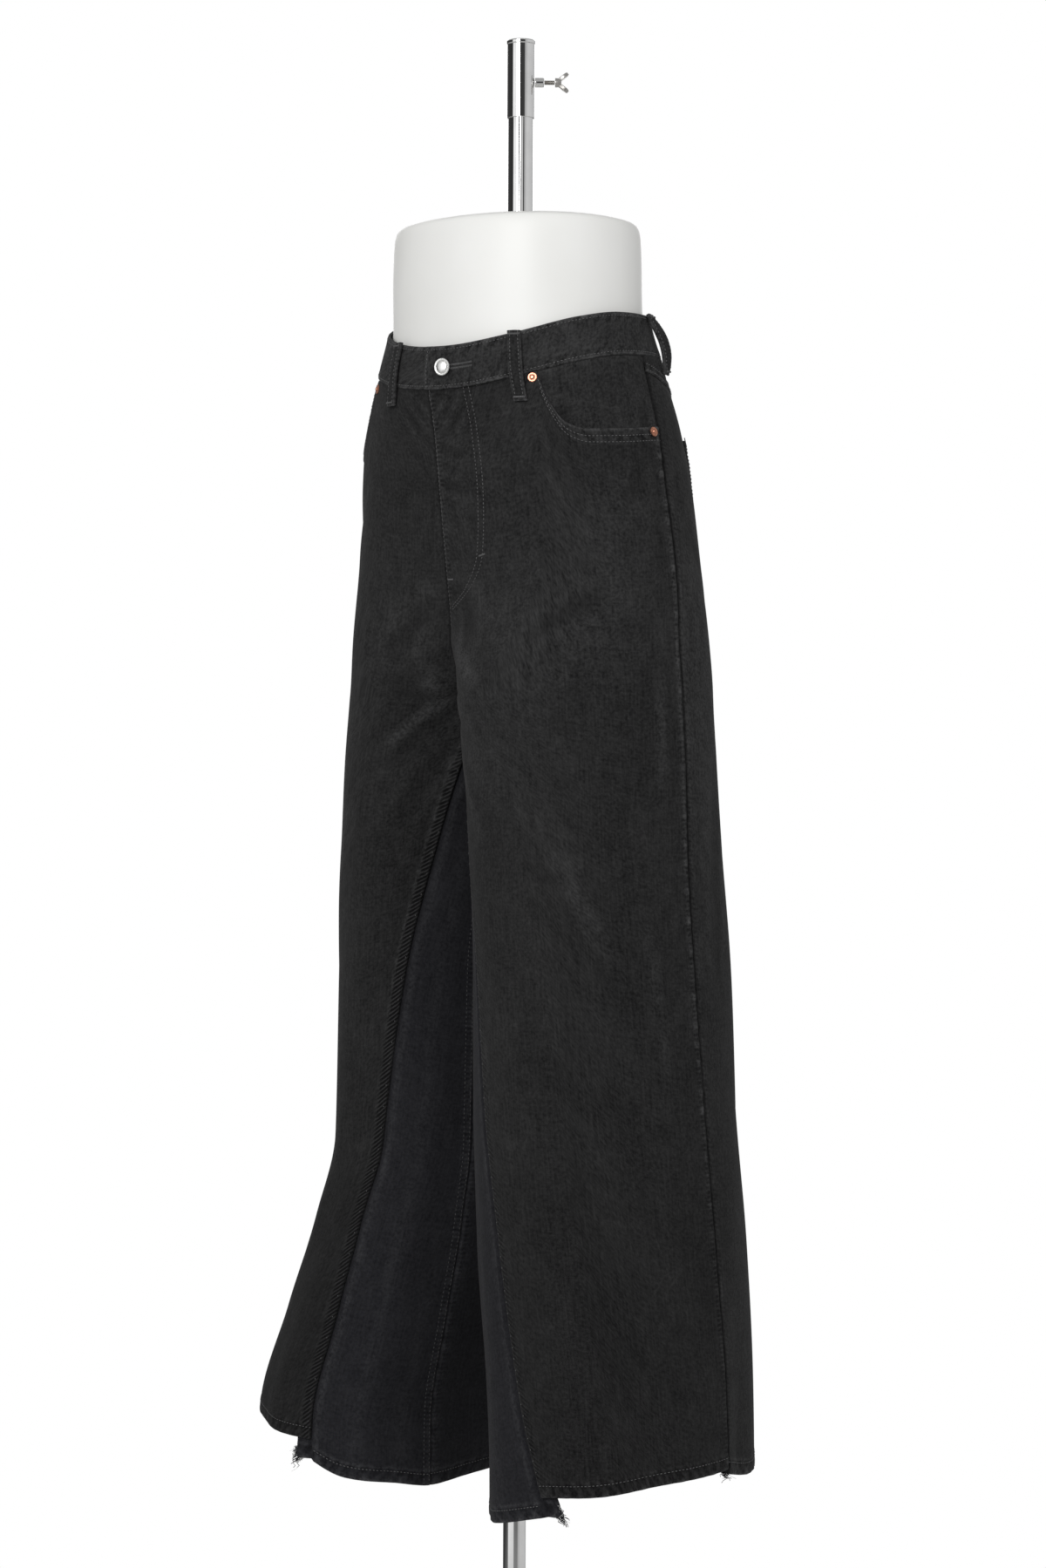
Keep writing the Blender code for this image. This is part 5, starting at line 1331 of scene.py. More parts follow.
def washed_twill():
    """Washed denim: twill lines, slubs, mottled fading, thin crease lines, seam ticks of painted shade
    between paler worn ones, worn edges with highlights painted in the worn colour, and painted shade where
    the wear-and-shading value is below 0.
    """
    group, given, out = new_group(
        "washed twill",
        [("Cloth", "NodeSocketVector", None), ("Wear", "NodeSocketFloat", 0.0),
         ("Dark", "NodeSocketColor", None), ("Pale", "NodeSocketColor", None),
         ("Worn", "NodeSocketColor", None),
         ("Twill", "NodeSocketFloat", 0.00075), ("Fading", "NodeSocketFloat", 1.0)],
        [("Color", "NodeSocketColor"), ("Roughness", "NodeSocketFloat"), ("Height", "NodeSocketFloat")],
    )
    cloth = given.outputs["Cloth"]
    split = group.nodes.new("ShaderNodeSeparateXYZ")
    group.links.new(cloth, split.inputs[0])
    across, down, seam = split.outputs

    def times(first, second):
        return calculated(group, "MULTIPLY", first, second)

    def plus(first, second):
        return calculated(group, "ADD", first, second)

    uneven = stretched_noise(group, cloth, (260, 260, 0), 1.0)
    turns = calculated(group, "DIVIDE", weighed(group, across, 0.84, down, 0.54), given.outputs["Twill"])
    ribs = calculated(group, "SINE", weighed(group, turns, 2 * math.pi, uneven, 3.0))
    ribs = rescaled(group, ribs, -1, 1)
    slubs = stretched_noise(group, cloth, (640, 22, 0), 3.0, 0.6)
    weft = stretched_noise(group, cloth, (30, 560, 0), 2.0, 0.55)
    fleck = stretched_noise(group, cloth, (330, 300, 0), 3.0, 0.65)
    mottle = stretched_noise(group, cloth, (78, 60, 0), 5.0, 0.62)
    clouds = stretched_noise(group, cloth, (10, 7, 0), 3.0, 0.55)
    grain = stretched_noise(group, cloth, (1500, 1100, 0), 1.0)

    shade = 0.5
    for source, low, high, share in (
        (slubs, 0.32, 0.68, 0.30),
        (weft, 0.30, 0.70, 0.14),
        (fleck, 0.34, 0.66, 0.50),
        (mottle, 0.32, 0.68, 0.26),
        (clouds, 0.35, 0.65, 0.20),
        (grain, 0.2, 0.8, 0.16),
    ):
        change = rescaled(group, source, low, high, -share / 2, share / 2)
        shade = plus(shade, times(change, given.outputs["Fading"]))
    shade = plus(shade, rescaled(group, ribs, 0, 1, -0.11, 0.11))
    sparse = rescaled(group, clouds, 0.48, 0.62)
    lines = plus(fine_lines(group, across, down, (34, 11, 5.5, -3)),
                 fine_lines(group, across, down, (24, -13, 8, 4)))
    shade = plus(shade, times(lines, times(sparse, 0.20)))

    # Ticks along seams and roping along hems: dark ticks of painted shade in the stitch puckers' dimples,
    # between paler worn ones.
    along_rows = calculated(group, "LESS_THAN", seam, 0.0)
    along_columns = calculated(group, "SUBTRACT", 1.0, along_rows)
    roped = weighed(group, across, 0.34, down, 0.24)
    run = weighed(group, roped, along_rows, down, along_columns)
    wave = calculated(group, "SINE", weighed(group, run, 2 * math.pi / TICK_PITCH, mottle, 5.0))
    ticks = rescaled(group, wave, -0.35, 0.75)
    pulled = calculated(group, "ABSOLUTE", seam)
    shade = plus(shade, times(pulled, rescaled(group, ticks, 0, 1, -0.95, 0.60)))

    kept = calculated(group, "ADD", shade, 0.0, clamp=True)
    color = blended(group, kept, given.outputs["Dark"], given.outputs["Pale"])
    # The worn colour goes where the value is above 0: real wear, and also highlights painted on ridges and on
    # a patch that turns from the lamps.
    broken = plus(rescaled(group, fleck, 0.40, 0.60), rescaled(group, mottle, 0.35, 0.65))
    rubbed_and_lit = calculated(group, "MULTIPLY", given.outputs["Wear"], times(broken, 0.85), clamp=True)
    color = blended(group, rubbed_and_lit, color, given.outputs["Worn"])
    # Painted shade: below 0 the colour goes towards a near-black that is darker than the cloth's darkest dye.
    painted_shade = rescaled(group, given.outputs["Wear"], 0, -1, 0, 0.95)
    color = blended(group, painted_shade, color, (0.0012, 0.0012, 0.0014, 1))
    group.links.new(color, out.inputs["Color"])
    group.links.new(rescaled(group, shade, 0, 1, 0.97, 0.86), out.inputs["Roughness"])
    height = plus(plus(times(ribs, 0.45), times(slubs, 0.45)), times(times(ticks, pulled), 1.2))
    group.links.new(height, out.inputs["Height"])
    return group


def handled_metal():
    """Fine scratches and dull patches of metal that has been handled."""
    group, given, out = new_group(
        "handled metal",
        [("Clean", "NodeSocketColor", None), ("Dull", "NodeSocketColor", None),
         ("Smooth", "NodeSocketFloat", 0.1), ("Rough", "NodeSocketFloat", 0.3),
         ("Patch", "NodeSocketFloat", 300.0)],
        [("Color", "NodeSocketColor"), ("Roughness", "NodeSocketFloat"), ("Height", "NodeSocketFloat")],
    )
    place = group.nodes.new("ShaderNodeTexCoord").outputs["Object"]
    scale = group.nodes.new("ShaderNodeVectorMath")
    scale.operation = "SCALE"
    group.links.new(place, scale.inputs[0])
    group.links.new(given.outputs["Patch"], scale.inputs["Scale"])
    patches = stretched_noise(group, scale.outputs[0], (1, 1, 1), 4.0, 0.6)
    scratches = stretched_noise(group, scale.outputs[0], (3, 3, 26), 2.0, 0.7)
    dull = rescaled(group, patches, 0.42, 0.68)
    group.links.new(blended(group, dull, given.outputs["Clean"], given.outputs["Dull"]), out.inputs["Color"])
    spread = calculated(group, "SUBTRACT", given.outputs["Rough"], given.outputs["Smooth"])
    rough = calculated(group, "ADD", given.outputs["Smooth"], calculated(group, "MULTIPLY", spread, dull))
    group.links.new(rough, out.inputs["Roughness"])
    group.links.new(scratches, out.inputs["Height"])
    return group


def fresh_material(name):
    material = bpy.data.materials.new(name)
    material.use_nodes = True
    return material, material.node_tree, material.node_tree.nodes["Principled BSDF"]


def attribute(tree, name, output):
    made = tree.nodes.new("ShaderNodeAttribute")
    made.attribute_name = name
    return made.outputs[output]


def bumped(tree, height, shader, strength, distance):
    bump = tree.nodes.new("ShaderNodeBump")
    bump.inputs["Strength"].default_value = strength
    bump.inputs["Distance"].default_value = distance
    tree.links.new(height, bump.inputs["Height"])
    tree.links.new(bump.outputs[0], shader.inputs["Normal"])


def denim_material(name, group, dark, pale, worn, fading):
    material, tree, shader = fresh_material(name)
    twill = placed(tree, group, Cloth=attribute(tree, "cloth", "Vector"), Wear=attribute(tree, "wear_and_shading", "Fac"),
                   Dark=(*dark, 1), Pale=(*pale, 1), Worn=(*worn, 1), Twill=0.00075, Fading=fading)
    tree.links.new(twill.outputs["Color"], shader.inputs["Base Color"])
    tree.links.new(twill.outputs["Roughness"], shader.inputs["Roughness"])
    shader.inputs["Specular IOR Level"].default_value = 0.18
    shader.inputs["Sheen Weight"].default_value = 0.035
    shader.inputs["Sheen Roughness"].default_value = 0.45
    bumped(tree, twill.outputs["Height"], shader, 0.55, 0.00035)
    return material


def thread_material(name, color, painted_highlight):
    material, tree, shader = fresh_material(name)
    place = tree.nodes.new("ShaderNodeTexCoord").outputs["Object"]
    twist = stretched_noise(tree, place, (1400, 1400, 1400), 2.0, 0.6)
    patch = stretched_noise(tree, place, (60, 60, 60), 2.0, 0.5)
    # Paler where the twist's bump stands high, which paints highlights on it, and in random patches.
    shade = calculated(tree, "MULTIPLY", rescaled(tree, twist, 0.3, 0.7),
                       rescaled(tree, patch, 0.3, 0.7, 0.5, 1.0))
    tree.links.new(blended(tree, shade, (*color, 1), (*painted_highlight, 1)), shader.inputs["Base Color"])
    shader.inputs["Roughness"].default_value = 0.8
    shader.inputs["Specular IOR Level"].default_value = 0.25
    bumped(tree, twist, shader, 0.4, 0.0002)
    return material


def metal_material(name, group, clean, dull, smooth, rough, patch, strength):
    material, tree, shader = fresh_material(name)
    handled = placed(tree, group, Clean=(*clean, 1), Dull=(*dull, 1), Smooth=smooth, Rough=rough, Patch=patch)
    tree.links.new(handled.outputs["Color"], shader.inputs["Base Color"])
    tree.links.new(handled.outputs["Roughness"], shader.inputs["Roughness"])
    shader.inputs["Metallic"].default_value = 1.0
    bumped(tree, handled.outputs["Height"], shader, strength, 0.00004)
    return material


def form_material():
    material, tree, shader = fresh_material("white satin form")
    place = tree.nodes.new("ShaderNodeTexCoord").outputs["Object"]
    skin = stretched_noise(tree, place, (420, 420, 420), 2.0, 0.5)
    tone = stretched_noise(tree, place, (9, 9, 9), 3.0, 0.5)
    color = blended(tree, rescaled(tree, tone, 0.3, 0.7), (0.80, 0.80, 0.775, 1), (0.84, 0.84, 0.82, 1))
    tree.links.new(color, shader.inputs["Base Color"])
    tree.links.new(rescaled(tree, tone, 0.3, 0.7, 0.40, 0.50), shader.inputs["Roughness"])
    bumped(tree, skin, shader, 0.12, 0.0003)
    return material


# ---------------------------------------------------------------- metal and stand

def rounded(profile, radius, steps=4):
    """A profile whose inner corners are rounded off."""
    profile = [np.array(p, float) for p in profile]
    made = [profile[0]]
    for before, corner, after in zip(profile, profile[1:], profile[2:]):
        back, ahead = before - corner, after - corner
        reach = min(radius, np.linalg.norm(back) * 0.45, np.linalg.norm(ahead) * 0.45)
        start = corner + back / np.linalg.norm(back) * reach
        end = corner + ahead / np.linalg.norm(ahead) * reach
        for k in range(steps + 1):
            t = k / steps
            made.append(start * (1 - t) ** 2 + 2 * corner * t * (1 - t) + end * t * t)
    made.append(profile[-1])
    return [tuple(p) for p in made]


def turned(name, profile, material, sides=72, place=None, closed=False, sharp=35):
    """A round piece: a profile of radius and height, from the top down its outer side, turned round."""
    place = place or Matrix.Identity(4)
    vertices, rings = [], []
    for radius, height in profile:
        if radius < 1e-7:
            rings.append([len(vertices)])
            vertices.append(place @ Vector((0, 0, height)))
            continue
        rings.append(list(range(len(vertices), len(vertices) + sides)))
        for k in range(sides):
            angle = 2 * math.pi * k / sides
            vertices.append(place @ Vector((radius * math.cos(angle), radius * math.sin(angle), height)))
    faces = []
    for first, second in zip(rings, rings[1:] + (rings[:1] if closed else [])):
        for k in range(sides):
            after = (k + 1) % sides
            if len(first) == 1 and len(second) > 1:
                faces.append((first[0], second[k], second[after]))
            elif len(second) == 1 and len(first) > 1:
                faces.append((first[k], second[0], first[after]))
            elif len(first) > 1:
                faces.append((first[k], second[k], second[after], first[after]))
    vertices = [tuple(v) for v in vertices]
    return mesh_object(name, vertices, facing_out(vertices, faces), material, sharp=sharp)


def upright_on(point, normal):
    """A matrix that stands +Z along a direction at a point."""
    return Matrix.Translation(Vector(point)) @ Vector(normal).to_track_quat("Z", "Y").to_matrix().to_4x4()


def hip_form(material):
    """The smooth closed form, with a bore for the pole down its middle."""
    rings = curves(FORM_RINGS, FORM_COLUMNS)
    (top, top_width, top_depth, _), low = FORM_RINGS[0], FORM_RINGS[-1][0]
    arc = np.linspace(0, 1, 86)
    crowded = 0.35              # this share of the rows lies closer together, at the rounded shoulder
    heights = top - (top - low) * np.where(arc < crowded, crowded * (arc / crowded) ** 2.2, arc)
    angles = 360 * np.arange(FORM_SIDES) / FORM_SIDES
    rows = []
    for z in heights:
        flat = on_ring(FORM_SHIFT, *(rings[key](z) for key in ("back", "half_width", "half_depth")),
                       FORM_SQUARE, 1, -angles)
        rows.append([(x, y, z) for x, y in flat])
    around = [(FORM_BORE * math.cos(-math.radians(a)), FORM_BORE * math.sin(math.radians(a))) for a in angles]
    rows += [[(x, y, z) for x, y in around] for z in (low, FORM_TOP)]
    for share, lift in ((0.45, 0.0012), (0.80, 0.0012), (0.95, 0.0010), (0.985, 0.0006)):
        flat = on_ring(FORM_SHIFT * share, rings["back"](top) * share, top_width * share, top_depth * share,
                       FORM_SQUARE, 1, -angles)
        rows.append([(x, y, top + lift) for x, y in flat])
    vertices = [point for row in rows for point in row]
    faces = []
    for k in range(len(rows)):
        row, below = k * FORM_SIDES, (k + 1) % len(rows) * FORM_SIDES
        for s in range(FORM_SIDES):
            after = (s + 1) % FORM_SIDES
            faces.append((row + s, below + s, below + after, row + after))
    return mesh_object("satin_form", vertices, facing_out(vertices, faces), material, sharp=60)


def wing_nut(start, material, place):
    """A hub with two rounded wings that lean outward, joined into one closed body."""
    profile = ((0, start + 0.0062), (0.0040, start + 0.0060), (0.0046, start), (0, start))
    hub = turned("thumb_nut", rounded(profile, 0.0008), material, 36, place)
    sides = 20
    half_width, half_length = 0.0036, 0.0062
    outline = []
    for k in range(sides):
        angle = 2 * math.pi * k / sides
        x = half_width * math.cos(angle) * (1 + 0.25 * math.sin(angle))
        outline.append((x, half_length * math.sin(angle)))
    for sign in (-1, 1):
        tilt = Matrix.Rotation(sign * math.radians(38), 4, "X")
        at = place @ Matrix.Translation((0, -sign * 0.0052, start + 0.0078)) @ tilt
        vertices, faces = [], []
        for level, size in ((-0.0018, 0.85), (-0.0012, 1.0), (0.0012, 1.0), (0.0018, 0.85)):
            vertices += [tuple(at @ Vector((x * size, level, y * size))) for x, y in outline]
        for first in range(0, 3 * sides, sides):
            for s in range(sides):
                after = (s + 1) % sides
                faces.append((first + s, first + sides + s, first + sides + after, first + after))
        faces.append(tuple(reversed(range(sides))))
        faces.append(tuple(range(3 * sides, 4 * sides)))
        wing = mesh_object("wing", vertices, facing_out(vertices, faces), material)
        joined = hub.modifiers.new("wing", "BOOLEAN")
        joined.operation, joined.solver, joined.object = "UNION", "EXACT", wing
        with bpy.context.temp_override(object=hub, active_object=hub):
            bpy.ops.object.modifier_apply(modifier="wing")
        bpy.data.objects.remove(wing)
    hub.data.shade_smooth()
    hub.data.set_sharp_from_angle(angle=math.radians(35))
    return hub


# ---------------------------------------------------------------- dress the jeans

def laid(name, layer, materials, nodes, sewing=None, slot="denim"):
    cloth = materials["denim" if slot == "denim" else "insert"]
    made = as_piece(cloth_object(name, layer, cloth), nodes)
    if sewing:
        stitched = "stitching_" + name.removeprefix("denim_")
        as_piece(sewing.made(stitched, materials["thread"]))
    wide, long = float(layer.across[:, -1].max()), float(layer.down[-1].max())
    wide, long = (max(round(v, 4), 0.0101) for v in (wide, long))
    measured = min(layer.area(), wide * long)


def dress_front(side, layer, materials):
    name = SIDE_NAME[side]
    sewing = Thread()
    shown = layer.corner + 1
    for distance in OPENING_ROWS:
        points, normals = line_along(layer, "top", distance)
        sewing.run(points[:shown], normals[:shown])
    sewing.rows(layer, "hem", [HEM_ROW])
    distance, low, high = SPECK_ROW
    gap = 0.0095 if side > 0 else 0.0200
    sewing.rows(layer, "end", [distance], low, high, stitch=SPECK, gap=gap, radius=THREAD * 0.9)
    if side > 0:
        fly_stitching(sewing, layer)
    laid(f"denim_front_{name}", layer, materials, [f"front_panel_{name}"], sewing)


def dress_back(side, layer, materials):
    name = SIDE_NAME[side]
    sewing = Thread()
    sewing.rows(layer, "hem", [HEM_ROW])
    distance, low, high = SPECK_ROW
    sewing.rows(layer, "end", [distance], low, high, stitch=SPECK, gap=0.0140, radius=THREAD * 0.9)
    if side > 0:
        sewing.rows(layer, "end", RISE_ROWS, ABOVE_CROTCH, 1.30)
    laid(f"denim_back_{name}", layer, materials, [f"back_panel_{name}"], sewing)


def dress_yoke(side, layer, materials):
    name = SIDE_NAME[side]
    sewing = Thread()
    sewing.rows(layer, "hem", YOKE_ROWS)
    if side > 0:
        sewing.rows(layer, "end", RISE_ROWS)
    laid(f"denim_yoke_{name}", layer, materials, [f"yoke_{name}"], sewing)


def dress_godet(side, front, layer, materials):
    name, half = SIDE_NAME[side], "front" if front else "back"
    sewing = Thread()
    shown = slice(layer.under, None) if front else slice(None, -layer.under)
    points, normals = line_along(layer, "hem", HEM_ROW)
    sewing.run(points[shown], normals[shown])
    if front == (side < 0):
        felled = "end" if front else "start"
        sewing.rows(layer, felled, FELL_ROWS, 0.10, 0.935, gap=0.0020, radius=THREAD * 0.62)
    laid(f"insert_{half}_{name}", layer, materials, [f"godet_{half}_{name}"], sewing, "insert_denim")


def dress_pocket(side, layer, materials):
    name = SIDE_NAME[side]
    sewing = Thread()
    for edge in ("start", "end", "hem"):
        sewing.rows(layer, edge, POCKET_ROWS)
    sewing.rows(layer, "top", [0.0110])
    outer, normals = layer.outer, layer.normals
    for column in (2, -3):
        sewing.bartack(outer[2, column], outer[6, column] - outer[2, column], normals[2, column], 0.009)
    laid(f"denim_pocket_{name}", layer, materials, [f"back_pocket_{name}"], sewing)


def dress_loop(name, layer, materials):
    sewing = Thread()
    for edge in ("start", "end"):
        sewing.rows(layer, edge, [0.0026])
    outer, normals = layer.outer, layer.normals
    middle = layer.rise.shape[1] // 2
    for row in (3, -4):
        on, normal = outer[row], normals[row, middle]
        sewing.bartack(on[middle] + normal * 0.0002, on[middle + 1] - on[middle - 1], normal)
    laid(f"denim_{name}", layer, materials, [name], sewing)


def dress(materials):
    """Every piece of cloth with its stitching. It returns the front panels, which carry the rivets."""
    fronts = {side: front_panel(side) for side in (1, -1)}
    godets = {(side, front): godet(side, front) for side in (1, -1) for front in (True, False)}
    for side in (1, -1):
        dress_front(side, fronts[side], materials)
        dress_back(side, back_panel(side), materials)
        dress_yoke(side, yoke(side), materials)
        for front in (True, False):
            dress_godet(side, front, godets[side, front], materials)
        name = SIDE_NAME[side]
        laid(f"denim_facing_{name}", facing(side), materials, [f"pocket_facing_{name}"])
        dress_pocket(side, back_pocket(side), materials)

    layer, sewing = coin_pocket(), Thread()
    sewing.rows(layer, "top", POCKET_ROWS)
    laid("denim_coin_pocket", layer, materials, ["coin_pocket"], sewing)

    layer, sewing = waistband(), Thread()
    for edge in ("top", "hem"):
        sewing.rows(layer, edge, [BAND_ROW])
    sewing.rows(layer, "start", [0.0040])
    buttonhole(sewing, layer)
    laid("denim_waistband", layer, materials, ["waistband"], sewing)

    for row in BELT_LOOPS:
        dress_loop(row[0], belt_loop(row), materials)
    frays(godets, materials["fray"], materials["insert"])
    return fronts


def fly_stitching(sewing, layer):
    """The fly's edge, its doubled curve and two bars."""
    width = float(layer.across[60, -1])
    sewing.rows(layer, "end", [0.0016], 1.02, 1.30, gap=0.0018, radius=THREAD * 0.75)
    for inset in (0.0, 0.0060):
        path = smooth_path((
            (0.0440 - inset, 1.247),
            (0.0430 - inset, 1.180),
            (0.0405 - inset, 1.120),
            (0.0365 - inset, 1.085),
            (0.0270 - inset, 1.060),
            (0.0140 - inset * 0.7, 1.046),
            (0.0045, 1.036 + inset * 0.5),
        ), 90)
        sewing.run(*on_cloth(layer, panel_points(1, True, 1 - path[:, 0] / width, path[:, 1])))
    for inner, z, turned_by in ((0.0365, 1.087, 0.25), (0.0040, 1.066, -0.05)):
        u = np.array([1 - inner / width, 1 - (inner + 0.004) / width])
        on, normals = on_cloth(layer, panel_points(1, True, u, np.array([z, z + turned_by * 0.004])))
        sewing.bartack(on[0], on[1] - on[0], normals[0], 0.008)


def buttonhole(sewing, band):
    """Close stitches round the slit that the button passes through."""
    count, outer_columns = 38, 80
    for k in range(count):
        angle = BUTTON_ANGLE - 2.5 - 9.3 * k / (count - 1)
        top = float(waist_top_at(1, angle))
        for side in (-1, 1):
            heights = [top - (BUTTON_DROP + side * reach) for reach in (0.0006, 0.0028)]
            targets = [raised(hip_point(1, np.array(angle), np.array(z)), np.array(z)) for z in heights]
            on, normals = on_cloth(band, targets, outer_columns)
            sewing.stitch(on[0], on[1], normals[0], THREAD * 0.6)


def frays(godets, fray, insert):
    """Loose white threads and a few dark ones at the raw corners below the panels' hems."""
    rng = np.random.default_rng(11)
    for (side, front), layer in godets.items():
        pale, dark = Thread(), Thread()
        outer = layer.outer
        edge = outer[:, 0] if front else outer[:, -1]
        beside = outer[:, 3] if front else outer[:, -4]
        for k in range(54):
            row = -1 - int(rng.integers(0, 9)) if k % 3 else -1
            share = rng.uniform(0, 1.0)
            start = mix(edge[row], beside[row], share if row == -1 else 0)
            out = edge[row] - beside[row]
            out /= np.linalg.norm(out)
            length = rng.uniform(0.003, 0.016 if k % 5 == 0 else 0.008)
            t = np.linspace(0, 1, 7)[:, None]
            swing = np.array([rng.normal(0, 0.25), rng.normal(0, 0.25), 0])
            waving = 0.12 * np.sin(9 * t + k) * np.array([1, 1, 0])
            falling = np.array([0, 0, -0.75]) * t**1.3
            path = start + length * (out * 0.45 * t + falling + swing * t**2 + waving)
            target, radius = (pale, 0.00016) if k % 4 == 1 else (dark, 0.00030)
            target.tube(path, np.full(7, radius), np.array([0.6, -0.5, 0.62]))
        name = f"{'front' if front else 'back'}_{SIDE_NAME[side]}"
        as_piece(pale.made(f"fray_pale_{name}", fray))
        as_piece(dark.made(f"fray_dark_{name}", insert))


def trim(materials, fronts):
    """Button and rivets, finely turned, on the cloth where the solids put them."""
    top = float(waist_top_at(1, BUTTON_ANGLE))
    point, normal, _ = cloth_beside(1, np.array([BUTTON_ANGLE]), np.array([top - BUTTON_DROP]))
    foot = point[0] + normal[0] * (band_lift(-BAND_START - BUTTON_ANGLE) + BUTTON_GAP)
    leaning = normal[0] + SIGHT * BUTTON_LEAN
    leaning /= np.linalg.norm(leaning)
    button = turned("shank_button", BUTTON_PROFILE, materials["nickel"], 72, upright_on(foot, leaning))
    as_piece(button, ["button"])
    for name, side, from_outseam, z in RIVETS:
        u = from_outseam / front_width(side)
        on, normals = on_cloth(fronts[side], panel_points(side, True, np.array([u]), np.array([z])))
        place = upright_on(on[0] + normals[0] * 0.0001, normals[0])
        rivet = turned("copper_" + name, RIVET_PROFILE, materials["copper"], 48, place)
        as_piece(rivet, [name])


def stand(materials):
    chrome, steel = materials["chrome"], materials["steel"]
    low = BASE_THICK + FIT_GAP
    bore = POLE_RADIUS + FIT_GAP
    plate = ((0, BASE_THICK), (BASE_RADIUS - 0.003, BASE_THICK), (BASE_RADIUS, BASE_THICK - 0.003),
             (BASE_RADIUS, 0.002), (BASE_RADIUS - 0.002, 0), (0, 0))
    as_piece(turned("floor_plate", rounded(plate, 0.0015), steel, 144), ["base_plate"])
    collar = ((bore, low + COLLAR_HEIGHT), (COLLAR_RADIUS - 0.003, low + COLLAR_HEIGHT),
              (COLLAR_RADIUS, low + COLLAR_HEIGHT - 0.003), (COLLAR_RADIUS, low), (bore, low))
    as_piece(turned("floor_collar", rounded(collar, 0.001), steel, 72, closed=True), ["base_collar"])
    for name, node, radius, bottom, top in (
        ("lower_pole", "pole", POLE_RADIUS, low, TUBE_LOW - FIT_GAP),
        ("chrome_tube", "upper_tube", TUBE_RADIUS, TUBE_LOW, TUBE_HIGH),
    ):
        profile = rounded(((0, top), (radius, top), (radius, bottom), (0, bottom)), 0.0006)
        as_piece(turned(name, profile, chrome, 96), [node])
    inside, top = TUBE_RADIUS + FIT_GAP, SLEEVE_HIGH
    sleeve = ((0, top), (SLEEVE_LIP - 0.0012, top), (SLEEVE_LIP, top - 0.0010),
              (SLEEVE_LIP, top - LIP_HEIGHT + 0.0006), (SLEEVE_RADIUS, top - LIP_HEIGHT),
              (SLEEVE_RADIUS, SLEEVE_LOW), (inside, SLEEVE_LOW),
              (inside, TUBE_HIGH + FIT_GAP), (0, TUBE_HIGH + FIT_GAP))
    as_piece(turned("chrome_sleeve", rounded(sleeve, 0.0004), chrome, 96), ["clamp_sleeve"])
    rod_at = Matrix.Rotation(-CLAMP_YAW, 4, "Z") @ Vector((TUBE_RADIUS + FIT_GAP + ROD_RADIUS, 0, 0))
    high, low = SLEEVE_LOW - FIT_GAP, FORM_TOP + FIT_GAP
    ends = rounded(((0, high), (ROD_RADIUS, high), (ROD_RADIUS, low), (0, low)), 0.0004)
    as_piece(turned("chrome_rod", ends, chrome, 40, Matrix.Translation(rod_at)), ["guide_rod"])
    across = upright_on((0, 0, CLAMP_Z), (math.cos(CLAMP_YAW), math.sin(CLAMP_YAW), 0))
    end = CLAMP_START + BOSS_LONG
    boss = ((0, end), (0.0040, end), (0.0047, end - 0.0010), (0.0047, CLAMP_START), (0, CLAMP_START))
    as_piece(turned("chrome_boss", rounded(boss, 0.0004), chrome, 48, across), ["clamp_boss"])
    screw_low, screw_high, pitch = end + FIT_GAP, end + FIT_GAP + SCREW_LONG, 0.00058
    threads = [(0, screw_high)]
    for k in range(17):
        at = screw_high - 0.0003 - pitch * k
        threads += [(0.0019, at), (0.0023, at - pitch / 2)]
    threads += [(0.0019, screw_low), (0, screw_low)]
    as_piece(turned("screw_thread", threads, steel, 32, across), ["clamp_screw"])
    as_piece(wing_nut(end + 2 * FIT_GAP + SCREW_LONG, steel, across), ["wing_nut"])
    as_piece(hip_form(materials["form"]), ["hip_form"])


# ---------------------------------------------------------------- studio

SIGHT = np.array([math.sqrt(0.5), -math.sqrt(0.5), 0])      # from the pole towards the camera
BESIDE = np.array([math.sqrt(0.5), math.sqrt(0.5), 0])      # to the right in the picture
CAMERA_FAR = 3.6
CAMERA_HIGH = 0.87
CAMERA_ROLL = 0.0045
CAMERA_LENS = 84.75
CAMERA_SHIFT = 6 / 1799
# Soft lights: name, right of the pole, towards the camera, height, width, depth, power, height aimed at,
# and whether metal mirrors it
SOFT_LIGHTS = (
    ("left_softbox", -1.5, 3.6, 2.3, 1.8, 1.8, 73, 1.15, True),
    ("right_softbox", 2.1, 2.8, 1.9, 1.4, 1.8, 33, 1.0, False),
    ("left_fill", -3.2, 0.8, 1.7, 1.4, 2.0, 17, 1.2, False),
    ("back_softbox", 0.0, -3.2, 2.0, 2.4, 1.8, 30, 0.9, True),
)
# What polished metal mirrors all round: degrees to the right of the camera, and how bright it is there
MIRRORED_WALLS = (
    (-180, 0.06), (-84, 0.030), (-72, 0.035), (-66, 1.0), (-12, 1.0), (-5, 0.04), (30, 0.05), (37, 0.45),
    (60, 0.66), (120, 0.58), (160, 0.42), (178, 0.10),
)


def camera():
    data = bpy.data.cameras.new("photo_view")
    data.sensor_fit = "VERTICAL"
    data.sensor_height = 36
    data.lens = CAMERA_LENS
    data.shift_x = CAMERA_SHIFT
    made = bpy.data.objects.new("photo_view", data)
    place = Vector(SIGHT * CAMERA_FAR + (0, 0, CAMERA_HIGH))
    turn = Vector(-SIGHT).to_track_quat("-Z", "Y").to_matrix().to_4x4()
    made.matrix_world = Matrix.Translation(place) @ turn @ Matrix.Rotation(CAMERA_ROLL, 4, "Z")
    bpy.context.scene.collection.objects.link(made)
    bpy.context.scene.camera = made


def soft_light(name, right, toward, high, width, tall, power, aim, glossy):
    data = bpy.data.lights.new(name, "AREA")
    data.shape = "RECTANGLE"
    data.size, data.size_y = width, tall
    data.energy = power
    made = bpy.data.objects.new(name, data)
    place = BESIDE * right + SIGHT * toward + (0, 0, high)
    made.matrix_world = upright_on(place, Vector(place) - Vector((0, 0, aim)))
    bpy.context.scene.collection.objects.link(made)
    made.visible_camera = False
    made.visible_glossy = glossy


